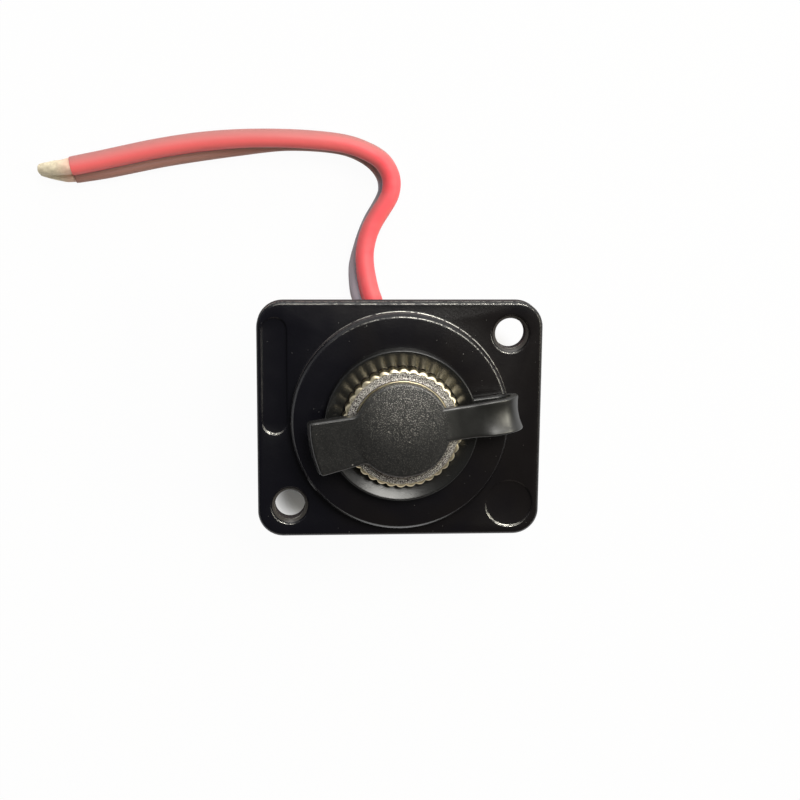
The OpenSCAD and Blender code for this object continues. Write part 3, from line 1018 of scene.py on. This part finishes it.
@dataclass
class Lamp:
    """One soft lamp."""

    name: str
    bearing: float
    height: float
    distance: float
    size: tuple[float, float]
    glow: float
    colour: Colour = (1.0, 1.0, 1.0)
    aim: tuple[float, float, float] = (0.0, 0.0, 0.02)

    def build(self) -> bpy.types.Object:
        """The lamp.

        Returns:
            The lamp, which faces its aim.
        """
        data = bpy.data.lights.new(self.name, "AREA")
        data.shape = "RECTANGLE"
        data.size, data.size_y = self.size
        data.energy = self.glow * math.pi * self.size[0] * self.size[1]
        data.color = self.colour
        lamp = bpy.data.objects.new(self.name, data)
        bpy.context.scene.collection.objects.link(lamp)
        bearing, height = math.radians(self.bearing), math.radians(self.height)
        level = math.cos(height)
        back = Vector((math.cos(bearing) * level, math.sin(bearing) * level, math.sin(height)))
        lamp.location = Vector(self.aim) + back * self.distance
        lamp.rotation_euler = back.to_track_quat("Z", "Y").to_euler()
        return lamp


@dataclass
class Studio:
    """Floor, sky and lamps."""

    sky_towards: tuple[float, float, float] = (0.42, 0.88, 0.20)
    sky_dim: float = 0.07
    sky_bright: float = 1.6
    floor_half: float = 1.5
    lamps: tuple[Lamp, ...] = (
        Lamp("window_lamp", 68.0, 58.0, 0.50, (0.22, 0.20), 13.0, (1.0, 0.98, 0.92)),
        Lamp("low_lamp", 80.0, 16.0, 0.60, (0.55, 0.16), 2.4, (1.0, 0.98, 0.95)),
        Lamp("front_lamp", -92.0, 18.0, 0.60, (0.50, 0.25), 0.60, (1.0, 0.86, 0.74)),
        Lamp("side_lamp", 4.0, 40.0, 0.55, (0.17, 0.14), 13.0, (1.0, 0.96, 0.80)),
        Lamp("cool_lamp", 158.0, 46.0, 0.55, (0.16, 0.14), 1.1, (0.84, 0.90, 1.0)),
    )

    def build(self) -> None:
        """Light the scene and lay the floor."""
        self.sky()
        for lamp in self.lamps:
            lamp.build()
        self.floor()

    def sky(self) -> None:
        """A plain sky, brighter to one side, that is white to the camera."""
        world = bpy.data.worlds.new("studio")
        bpy.context.scene.world = world
        shader = Shader(world)
        way = shader.wire("ShaderNodeTexCoord", output="Generated")
        side = shader.dot(way, self.sky_towards)
        strength = self.sky_dim + (self.sky_bright - self.sky_dim) * side.ramp(0.25, 1.0)
        dim = shader.wire("ShaderNodeBackground", inputs={"Strength": strength})
        white = shader.wire("ShaderNodeBackground", inputs={"Color": (1.0, 1.0, 1.0), "Strength": 1.0})
        camera = shader.wire("ShaderNodeLightPath", output="Is Camera Ray")
        both = shader.wire("ShaderNodeMixShader", inputs={0: camera, 1: dim, 2: white})
        shader.node("ShaderNodeOutputWorld", inputs={"Surface": both})

    def floor(self) -> None:
        """The floor that the socket lies on."""
        h = self.floor_half
        mesh = bpy.data.meshes.new("floor")
        mesh.from_pydata([(-h, -h, 0), (h, -h, 0), (h, h, 0), (-h, h, 0)], [], [(0, 1, 2, 3)])
        placed("floor", mesh, Look.FLOOR)


class Pole(Enum):
    """The two conductors, and the side of the pair on which each lies."""

    RED = 1
    BLACK = -1


@dataclass
class TwinLead:
    """The short lead: two conductors side by side, with stripped, tinned ends."""

    wire_d: float = 2.1
    pitch: float = 2.2
    lean: float = 56.0
    out_angle: float = 104.5
    outlet_z: float = 4.15
    exit_u: float = 11.2
    lie_gap: float = 0.03
    tip: tuple[float, float, float] = (-40.2, 26.3, 1.6)
    tip_spread: float = 0.42
    tip_r: float = 0.52
    root_r: float = 0.92
    strands: int = 7
    twist: float = 1.9
    taper: float = 1.3
    nose_from: float = 0.86
    nose_l: float = 0.14
    tip_tilt: float = 0.2
    web: float = 1.5
    web_gap: float = 0.005
    sides: int = 48
    strand_sides: int = 56
    lead_out: float = 0.9
    lead_drop: float = 0.05
    cut: tuple[tuple[float, float], ...] = ((0.0, 0.98), (0.03, 0.92), (0.05, 0.81))
    route: tuple[tuple[float, float, float, float], ...] = (
        (-3.4, 12.8, 1.7, 56), (-3.7, 15.2, 0.9, 67), (-3.5, 17.2, 0.3, 82), (-3, 19.1, 0.1, 88),
        (-2.3, 20.7, 0, 88), (-1.4, 22.2, 0, 87), (-0.6, 23.8, 0, 83), (-0.6, 25.6, 0, 77),
        (-1.6, 27.3, 0, 74), (-3.4, 28.5, 0, 79), (-5.7, 29.3, 0, 82), (-9, 29.7, 0, 82),
        (-13, 29.8, 0, 78), (-17.5, 29.5, 0, 65), (-22, 29, 0, 57), (-26.4, 28.3, 0, 56),
        (-29.8, 27.6, 0, 56), (-33.1, 26.9, 0, 58), (-36.4, 26.3, 0, 63),
    )

    def out(self) -> np.ndarray:
        """Direction in which the pair leaves the cover."""
        a = math.radians(self.out_angle)
        return np.array([math.cos(a), math.sin(a), 0.0])

    def middle(self) -> tuple[np.ndarray, np.ndarray]:
        """Middle of the pair, from the grommet on.

        Returns:
            Its points, in millimetres, and the pair's lean at each, in radians.
        """
        out, up = self.out(), np.array([0.0, 0.0, 1.0])
        outlet = self.exit_u * out + self.outlet_z * up
        rows = np.array(self.route, float)
        leans = np.radians(np.concatenate([[self.lean, self.lean], rows[:, 3]]))
        lying = rows[:, :3].copy()
        lying[:, 2] += self.wire_d / 2 + self.pitch / 2 * np.sin(leans[2:]) + self.lie_gap
        return np.vstack([outlet, outlet + self.lead_out * out - self.lead_drop * up, lying]), leans

    def path(self, pole: Pole) -> np.ndarray:
        """Centre line of one conductor.

        Args:
            pole: which conductor.

        Returns:
            Its points, in millimetres.
        """
        middle, leans = self.middle()
        heading = along(middle)
        heading[0] = self.out()
        sideways = np.cos(leans)[:, None] * across(heading)
        upwards = np.sin(leans)[:, None] * np.array([0.0, 0.0, 1.0])
        points = middle + pole.value * self.pitch / 2 * (sideways + upwards)
        ends = np.vstack([points[:1], points, points[-1:]])
        halves = [(9 * (b + c) - (a + d)) / 16 for a, b, c, d in zip(ends, ends[1:], ends[2:], ends[3:])]
        knots = [p for pair in zip(points, halves) for p in pair] + [points[-1]]
        return finer(np.array(knots), 4)

    def conductor(self, pole: Pole) -> bpy.types.Object:
        """The insulation of one conductor, with a soft cut end.

        Args:
            pole: which conductor.

        Returns:
            The piece.
        """
        path = self.path(pole)
        heading = along(path)
        inward = self.path(Pole(-pole.value)) - path
        inward -= (inward * heading).sum(1)[:, None] * heading
        inward /= np.linalg.norm(inward, axis=1)[:, None]
        beside = np.cross(heading, inward)
        turn = full_turn(self.sides)
        web_end = (self.pitch / 2 - self.web_gap) / np.cos(turn).clip(0.2)
        web = np.minimum(web_end, self.web / 2 / np.abs(np.sin(turn)).clip(0.1))
        reach = np.maximum(self.wire_d / 2, np.where(np.cos(turn) > 0, web, 0.0))
        ring = fan(turn, inward, beside)
        rows = path[:, None] + reach[None, :, None] * ring
        cut = [path[-1] + heading[-1] * step + share * reach[:, None] * ring[-1] for step, share in self.cut]
        name = pole.name.lower()
        draft = Draft().skin(np.concatenate([rows[:-1], cut]))
        piece = draft.make(f"{name}_conductor", Look[pole.name], 50.0)
        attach(piece, SOCKET)
        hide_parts(f"{name}_lead")
        return piece

    def bare_end(self, pole: Pole) -> bpy.types.Object:
        """The stripped strands of one conductor, twisted and tinned together.

        Args:
            pole: which conductor.

        Returns:
            The piece.
        """
        path = self.path(pole)
        up = np.array([0.0, self.tip_tilt, 1.0]) / math.hypot(self.tip_tilt, 1.0)
        start, stop = path[-1], np.array(self.tip) + pole.value * self.tip_spread * up
        lead_in = along(path)[-1]
        span = float(np.linalg.norm(stop - start))
        nose = np.sin(np.linspace(1.13, math.pi / 2, 12))
        t = np.concatenate([[-0.12, -0.04], np.linspace(0, 0.9, 30), nose])[:, None]
        line = start + t * span * lead_in * (1 - t) ** 2 + (stop - start) * (3 * t**2 - 2 * t**3)
        line = np.where(t < 0, start + t * span * lead_in, line)
        heading = along(line)
        side = across(heading)
        share = t.clip(0, 1)
        body = self.root_r + (self.tip_r - self.root_r) * share**self.taper
        body = body * np.sqrt(1 - ((share - self.nose_from) / self.nose_l).clip(0, 0.995) ** 2)
        turn = full_turn(self.strand_sides)
        twist = self.twist * share + pole.value
        ridge = np.abs(np.cos(self.strands * (turn - twist) / 2))
        lumps = np.sin(3.1 * turn + 9 * share + pole.value) * np.sin(11 * share + turn)
        radius = body * (0.95 + 0.06 * ridge + 0.035 * lumps)
        ring = fan(turn, side, np.cross(side, heading))
        name = pole.name.lower()
        draft = Draft().skin(line[:, None] + radius[..., None] * ring)
        piece = draft.make(f"{name}_strands", Look.STRANDS, 70.0)
        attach(piece, SOCKET)
        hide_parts(f"{name}_bare_end")
        return piece

    def build(self) -> None:
        """Make both conductors and their stripped ends."""
        for pole in Pole:
            cord = self.conductor(pole)
            end = self.bare_end(pole)
            path = self.path(pole)


@dataclass
class Housing:
    """The flange plate, the rear cover and the grommet, with their edges eased."""

    plate_edge: float = 0.085
    cover_edge: float = 0.10
    grommet_edge: float = 0.14
    recess_z: float = 15.8
    recess_slack: float = 0.005
    long_shift: float = 0.26
    round_shift: float = 0.21

    def shift_recesses(self, shape: bmesh.types.BMesh) -> None:
        """Move the two shallow recesses a little to the right.

        Args:
            shape: the plate.
        """
        low = (self.recess_z - self.recess_slack) * MM
        high = low + 2 * self.recess_slack * MM
        sunk = {self.spot(v) for v in shape.verts if low < v.co.z < high}
        for vert in shape.verts:
            if vert.co.z > low and self.spot(vert) in sunk:
                vert.co.x += (self.long_shift if vert.co.x < 0 else self.round_shift) * MM

    @staticmethod
    def spot(vert: bmesh.types.BMVert) -> tuple[float, float]:
        """A point's place seen from the front, in millimetres, to the nearest hundredth."""
        return round(vert.co.x / MM, 2), round(vert.co.y / MM, 2)

    def build(self, nodes: Mapping[str, bpy.types.Object]) -> None:
        """Make the three pieces.

        Args:
            nodes: the CAD nodes.
        """
        for node, name, look, width, slot, adjust in (
            ("flange_plate", "plate", Look.COAT, self.plate_edge, "flange_paint", self.shift_recesses),
            ("rear_cover", "cover", Look.COVER, self.cover_edge, "cover_plastic", None),
            ("lead_grommet", "grommet", Look.GROMMET, self.grommet_edge, "ring_rubber", None),
        ):
            piece = eased_copy(nodes[node], name, look, width, adjust)
            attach(piece, SOCKET)
            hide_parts(node)


@dataclass
class Jack:
    """The metal and plastic inside: CAD solids that keep their shape and get their finish."""

    looks: tuple[tuple[str, Look], ...] = (
        ("jack_barrel", Look.BARREL), ("sealing_washer", Look.WASHER), ("jack_insulator", Look.INSULATOR),
        ("centre_pin", Look.BRASS), ("pin_terminal", Look.BRASS), ("sleeve_contact", Look.BRASS),
        ("red_solder", Look.SOLDER), ("black_solder", Look.SOLDER), ("red_wire_inside", Look.RED),
        ("black_wire_inside", Look.BLACK),
    )

    def build(self, nodes: Mapping[str, bpy.types.Object]) -> None:
        """Dress the nodes.

        Args:
            nodes: the CAD nodes.
        """
        for name, look in self.looks:
            look.paint(nodes[name])
            log.info("node %s: %s", name, look.name)


@dataclass
class RingNut:
    """Lobed ring nut that clamps the retaining ring."""

    outer_d: float = 12.92
    lobes: int = 36
    groove: float = 0.20
    foot_z: float = 18.4
    top_z: float = 20.55
    hole_r: float = 5.05
    edge: float = 0.30
    first_lobe: float = 9.0
    per_lobe: int = 14
    lobe_share: float = 0.55
    valley: float = 0.04
    side_rows: tuple[float, ...] = (0.22, 0.6, 1.1)
    side_end: float = 0.12
    lobe_fade: float = 0.75
    face_drop: float = 0.04
    face_in: float = 0.08
    face_steps: tuple[tuple[float, float], ...] = (
        (5.6, -0.045), (5.36, -0.04), (5.32, 0.0), (5.26, 0.02), (5.19, 0.01), (5.15, -0.03), (5.12, -0.03),
        (5.09, 0.0),
    )
    foot_in: float = 0.3

    def outline(self, turn: np.ndarray) -> np.ndarray:
        """Radius of the lobed outline.

        Args:
            turn: angles, in radians.

        Returns:
            A radius for each.
        """
        step = 2 * math.pi / self.lobes
        off = (turn - math.radians(self.first_lobe) + step / 2) % step - step / 2
        lobe_r = self.lobe_share * math.pi * self.outer_d / self.lobes
        reach = self.outer_d / 2 - lobe_r
        bead = reach * np.cos(off) + np.sqrt(lobe_r**2 - (reach * np.sin(off)) ** 2)
        return np.maximum(bead, self.outer_d / 2 - self.groove - self.valley)

    def build(self) -> bpy.types.Object:
        """The nut.

        Returns:
            The piece.
        """
        turn = full_turn(self.lobes * self.per_lobe)
        lobed = self.outline(turn)
        plain = self.outer_d / 2 - self.groove / 2
        face_r = self.outer_d / 2 - self.edge - self.face_in
        rows = [circled(turn, lobed, self.foot_z + z) for z in self.side_rows]
        rows.append(circled(turn, lobed, self.top_z - self.edge - self.side_end))
        for a in np.radians(np.linspace(0, 90, 9)):
            inward = self.edge * (1 - math.cos(a))
            fade = 1 - self.lobe_fade * (1 - math.cos(a))
            height = self.top_z - self.face_drop - self.edge * (1 - math.sin(a))
            rows.append(circled(turn, plain + (lobed - plain) * fade - inward, height))
        face = ((face_r - 0.03, -0.06), (face_r - 0.12, -0.05), *self.face_steps, (self.hole_r, -0.03))
        rows += [circled(turn, r, self.top_z + z) for r, z in face]
        rows.append(circled(turn, self.hole_r, self.foot_z + 0.02))
        rows.append(circled(turn, self.hole_r + 0.05, self.foot_z))
        rows.append(circled(turn, lobed - self.foot_in, self.foot_z))
        piece = Draft().skin(np.array(rows), looped=True).make("lobed_nut", Look.NUT, 48.0)
        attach(piece, SOCKET)
        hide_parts("ring_nut")
        return piece


@dataclass
class Strap:
    """Sizes and lines of the strap, which the ring, the bend and the cap share."""

    angle: float = 7.5
    width: float = 3.6
    thickness: float = 0.95
    edge: float = 0.25
    low_z: float = 18.175
    high_z: float = 21.175
    slope_from: float = 8.5
    bend_from: float = 10.875
    slope: float = 19.0
    reach: float = 12.60
    low_end: float = 10.65
    flare: float = 0.08
    saddle: float = 0.30
    roll: float = 2.0
    curl_from: float = 7.4
    curl_full: float = 9.9
    root: float = 4.3
    root_lift: float = 0.16
    lift_end: float = 6.2
    lift_run: float = 1.9
    upper_steps: int = 60
    bend_steps: int = 28
    flat_points: int = 13
    round_steps: int = 5
    middle_z: float = 19.42

    def section(self) -> np.ndarray:
        """Draw the cross-section.

        Returns:
            Points of width and thickness from its middle, in a closed loop.
        """
        w, t, r = self.width / 2, self.thickness / 2, self.edge
        middles = ((w - r, t - r, 90), (w - r, r - t, 0), (r - w, r - t, -90), (r - w, t - r, -180))
        points: list[tuple[float, float]] = [(x, t) for x in np.linspace(-w + r, w - r, self.flat_points)]
        for cx, cy, start in middles:
            points += arc((cx, cy), r, start, start - 90, self.round_steps)[1:]
            if start == 0:
                points += [(x, -t) for x in np.linspace(w - r, r - w, self.flat_points)[1:-1]]
        return np.array(points[:-1])

    def curled(self, line: np.ndarray) -> np.ndarray:
        """How much of the flare, the saddle and the roll each point of a line has.

        Args:
            line: points of the strap's middle, as distance from the axis and height.

        Returns:
            A share from 0 to 1 for each.
        """
        over = (line[:, 0] - self.curl_from) / (self.curl_full - self.curl_from)
        below = (line[:, 1] - self.low_z) / (self.middle_z - self.low_z)
        return smooth_rise(np.minimum(over, below).clip(0, 1))

    def sweep(self, line: np.ndarray) -> np.ndarray:
        """The strap's skin along a line.

        Args:
            line: points of the strap's middle, as distance from the axis and height, from the cap's end.

        Returns:
            Rows of points for Draft.skin.
        """
        ahead = np.gradient(line, axis=0)
        ahead /= np.linalg.norm(ahead, axis=1)[:, None]
        outward = np.stack([-ahead[:, 1], ahead[:, 0]], 1)
        section = self.section()
        share = self.curled(line)[:, None]
        v = section[None, :, 0] * (1 + self.flare * 2 / self.width * share)
        n = section[None, :, 1] + self.saddle * share * (section[None, :, 0] / (self.width / 2)) ** 2
        n = n - math.tan(math.radians(self.roll)) * share * section[None, :, 0]
        u = line[:, :1] + outward[:, :1] * n
        z = line[:, 1:] + outward[:, 1:] * n
        c, s = math.cos(math.radians(self.angle)), math.sin(math.radians(self.angle))
        return np.stack([u * c - v * s, u * s + v * c, z], 2)

    def upper(self) -> np.ndarray:
        """Line of the upper run.

        Returns:
            Its points, from inside the cap to the bend.
        """
        u = np.linspace(self.root, self.bend_from, self.upper_steps + 1)
        share = ((u - self.slope_from) / (self.bend_from - self.slope_from)).clip(0, 1)
        drop = math.tan(math.radians(self.slope)) * (self.bend_from - self.slope_from) / 2 * share**2
        near = ((self.lift_end - u) / self.lift_run).clip(0, 1)
        return np.stack([u, self.high_z - drop + self.root_lift * smooth_rise(near)], 1)

    def bend(self) -> np.ndarray:
        """Line of the bend.

        Returns:
            Its points, from the upper run round to the lower one.
        """
        start = self.upper()[-1]
        far = self.reach - self.thickness / 2
        fall = math.tan(math.radians(self.slope)) * (far - start[0])
        middle = np.array([far, self.middle_z])
        quarters = (
            (start, np.array([far, start[1] - fall]), middle),
            (middle, np.array([far, self.low_z]), np.array([self.low_end, self.low_z])),
        )
        steps = np.linspace(0, 1, self.bend_steps + 1)
        out: list[np.ndarray] = []
        for a, corner, b in quarters:
            c, d = a + QUARTER_HANDLE * (corner - a), b + QUARTER_HANDLE * (corner - b)
            for t in steps if out else steps[:-1]:
                out.append((1 - t) ** 3 * a + 3 * (1 - t) ** 2 * t * c + 3 * (1 - t) * t**2 * d + t**3 * b)
        return np.array(out)

    def halves(self) -> tuple[np.ndarray, np.ndarray]:
        """The skins of the upper run and of the bend, which share a row."""
        rows = self.sweep(np.vstack([self.upper(), self.bend()[1:]]))
        return rows[: self.upper_steps + 1], rows[self.upper_steps :]

    def build_bend(self) -> bpy.types.Object:
        """The bent stretch of the strap between the ring and the cap.

        Returns:
            The piece.
        """
        piece = Draft().skin(self.halves()[1]).make("strap_bend", Look.CAP, 45.0)
        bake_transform(piece)
        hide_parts("strap_loop")
        return piece


@dataclass
class RetainingRing:
    """Dished rubber ring under the nut, with the strap's lower run."""

    foot_z: float = 17.6
    foot_r: float = 8.3
    rim_r: float = 8.24
    rim_z: float = 19.25
    edge: float = 0.16
    dish_r: float = 6.56
    dish_z: float = 18.75
    dish_sag: float = 0.02
    seat_z: float = 18.4
    hole_r: float = 5.1
    strap_from: float = 7.2
    sides: int = 160

    def build(self, strap: Strap) -> bpy.types.Object:
        """The ring.

        Args:
            strap: the strap's sizes.

        Returns:
            The piece.
        """
        rim = arc((self.rim_r - self.edge, self.rim_z - self.edge), self.edge, 5, 107, 8)
        last_r, last_z = rim[-1]
        dish: list[tuple[float, float]] = []
        for t in np.linspace(0.06, 1, 12):
            sag = self.dish_sag * math.sin(math.pi * t)
            dish.append((last_r + (self.dish_r - last_r) * t, last_z + (self.dish_z - last_z) * t - sag))
        outer = [(self.foot_r - 0.04, self.foot_z), (self.foot_r, self.foot_z + 0.05)]
        wall = [(self.foot_r + (rim[0][0] - self.foot_r) * t, self.foot_z + (rim[0][1] - self.foot_z) * t)
                for t in (0.2, 0.5, 0.8)]
        floor = [(self.dish_r, self.seat_z), (self.hole_r, self.seat_z), (self.hole_r, self.foot_z)]
        draft = Draft().turned([*outer, *wall, *rim, *dish, *floor], self.sides)
        low = np.array([[u, strap.low_z] for u in np.linspace(self.strap_from, strap.low_end, 9)])
        draft.skin(strap.sweep(low))
        piece = draft.make("dished_ring", Look.RING, 40.0)
        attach(piece, SOCKET)
        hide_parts("cap_ring")
        return piece


@dataclass
class DustCap:
    """Disc, pull tab, hollow plug and the strap's upper run."""

    disc_r: float = 5.05
    under_z: float = 20.65
    edge_z: float = 21.75
    crown: float = 0.25
    step: float = 0.03
    edge: float = 0.26
    tab_angle: float = 192.3
    tab_reach: float = 9.75
    tab_root: float = 2.65
    tab_end: float = 2.97
    tab_bow: float = 0.35
    tab_corner: float = 0.28
    tab_draft: float = 0.28
    tab_under_z: float = 20.45
    tab_half: float = 40.0
    draft_from: float = 38.0
    draft_run: float = 12.0
    fillet: float = 0.40
    step_in: float = 0.28
    step_run: float = 0.45
    under_from: float = 6.75
    under_run: float = 0.25
    under_lift: float = 0.03
    under_edge: float = 0.12
    plug_l: float = 2.8
    plug_sides: int = 72
    near_points: int = 241
    search: tuple[float, float] = (3.5, 11.0)
    halvings: int = 40

    def distance(self, x: np.ndarray, y: np.ndarray) -> np.ndarray:
        """Distance from the outline of disc and tab, seen from the front.

        Args:
            x: places along X.
            y: places along Y.

        Returns:
            The distances, below 0 inside.
        """
        a = math.radians(self.tab_angle)
        u, v = x * math.cos(a) + y * math.sin(a), -x * math.sin(a) + y * math.cos(a)
        disc = np.hypot(x, y) - self.disc_r
        share = (u - self.disc_r) / (self.tab_reach - self.disc_r)
        side = np.abs(v) - (self.tab_root + (self.tab_end - self.tab_root) * share)
        bow_r = (self.tab_end**2 + self.tab_bow**2) / (2 * self.tab_bow)
        end = np.hypot(u - (self.tab_reach - bow_r), v) - bow_r
        k = self.tab_corner
        corner = np.hypot(np.maximum(side + k, 0), np.maximum(end + k, 0)) - k
        tab = np.where((side > -k) & (end > -k), corner, np.maximum(side, end))
        tab = np.maximum(tab, -u)
        h = np.clip(0.5 + 0.5 * (tab - disc) / self.fillet, 0, 1)
        return tab * (1 - h) + disc * h - self.fillet * h * (1 - h)

    def reaches(self, turn: np.ndarray, inset: float) -> np.ndarray:
        """How far the outline, moved in by a distance, lies from the axis.

        Args:
            turn: directions, in radians.
            inset: the distance.

        Returns:
            A radius for each direction.
        """
        low, high = (np.full(len(turn), reach) for reach in self.search)
        for _ in range(self.halvings):
            mid = (low + high) / 2
            inside = self.distance(mid * np.cos(turn), mid * np.sin(turn)) < -inset
            low, high = np.where(inside, mid, low), np.where(inside, high, mid)
        return (low + high) / 2

    def top(self, reach: np.ndarray) -> np.ndarray:
        """Height of the front face.

        Args:
            reach: distances from the axis.

        Returns:
            A height for each.
        """
        crown = self.crown * (1 - (reach / self.disc_r) ** 2).clip(0, 1)
        fall = ((reach - self.disc_r + self.step_in) / self.step_run).clip(0, 1)
        return self.edge_z + crown - self.step * smooth_rise(fall)

    def under(self, reach: np.ndarray) -> np.ndarray:
        """Height of the rear face.

        Args:
            reach: distances from the axis.

        Returns:
            A height for each.
        """
        fall = ((reach - self.under_from) / self.under_run).clip(0, 1)
        high = self.under_z + self.under_lift
        return high - (high - self.tab_under_z) * smooth_rise(fall)

    def shell(self) -> np.ndarray:
        """The skin of the disc and the tab.

        Returns:
            Rows of points, from the middle of the front face round to the middle of the rear one.
        """
        a = math.radians(self.tab_angle)
        near = a + np.radians(np.linspace(-self.tab_half, self.tab_half, self.near_points))
        far = a + np.radians(np.linspace(self.tab_half, 360 - self.tab_half, self.near_points))[1:-1]
        turn = np.concatenate([near, far])
        edge = self.reaches(turn, 0.0)
        inner = self.reaches(turn, self.edge)
        rows: list[np.ndarray] = []
        for share in np.concatenate([[0.02, 0.15, 0.3, 0.45], np.linspace(0.55, 1.0, 26)]):
            rows.append(circled(turn, inner * share, self.top(inner * share)))
        for b in np.radians(np.linspace(15, 90, 6)):
            height = self.top(inner) - self.edge * (1 - math.cos(b))
            rows.append(circled(turn, self.reaches(turn, self.edge * (1 - math.sin(b))), height))
        off = np.abs((turn - a + math.pi) % (2 * math.pi) - math.pi)
        by_tab = (math.radians(self.draft_from) - off) / math.radians(self.draft_run)
        spread = self.tab_draft * by_tab.clip(0, 1)
        for b in np.radians((0, 30, 60, 90)):
            reach = self.reaches(turn, self.under_edge * (1 - math.cos(b))) + spread
            rows.append(circled(turn, reach, self.under(edge) + self.under_edge * (1 - math.sin(b))))
        under = self.reaches(turn, 0.14)
        for share in (0.97, 0.9, 0.8, 0.74, 0.71, 0.68, 0.6, 0.3, 0.02):
            rows.append(circled(turn, under * share, self.under(under * share)))
        return np.array(rows)

    def plug(self) -> list[tuple[float, float]]:
        """Profile of the hollow plug.

        Returns:
            Points of radius and height, in a closed loop.
        """
        top, foot = self.under_z + 0.1, self.under_z - self.plug_l
        outside = [
            (2.66, top), (2.62, top - 0.35), (2.45, foot + 0.45), (2.40, foot + 0.15), (2.33, foot + 0.04),
        ]
        end = [(2.25, foot), (1.90, foot)]
        inside = [(1.82, foot + 0.06), (1.80, foot + 0.2), (2.02, top - 0.3), (2.05, top)]
        return outside + end + inside

    def build(self, strap: Strap) -> bpy.types.Object:
        """The cap.

        Args:
            strap: the strap's sizes.

        Returns:
            The piece.
        """
        draft = Draft().skin(self.shell()).turned(self.plug(), self.plug_sides)
        draft.skin(strap.halves()[0])
        piece = draft.make("cap", Look.CAP, 45.0)
        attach(piece, CAP)
        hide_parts("dust_cap")
        return piece


def main() -> None:
    """Load the frame and build the scene, piece by piece."""
    logging.basicConfig(level=logging.INFO, format="%(name)s: %(message)s")
    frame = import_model()
    bpy.context.scene.view_settings.view_transform = "Standard"
    nodes = frame["nodes"]
    Sight().build()
    TwinLead().build()
    Studio().build()
    Housing().build(nodes)
    Jack().build(nodes)
    RingNut().build()
    strap = Strap()
    RetainingRing().build(strap)
    strap.build_bend()
    DustCap().build(strap)
    log.info("done")


if __name__ == "__main__":
    main()
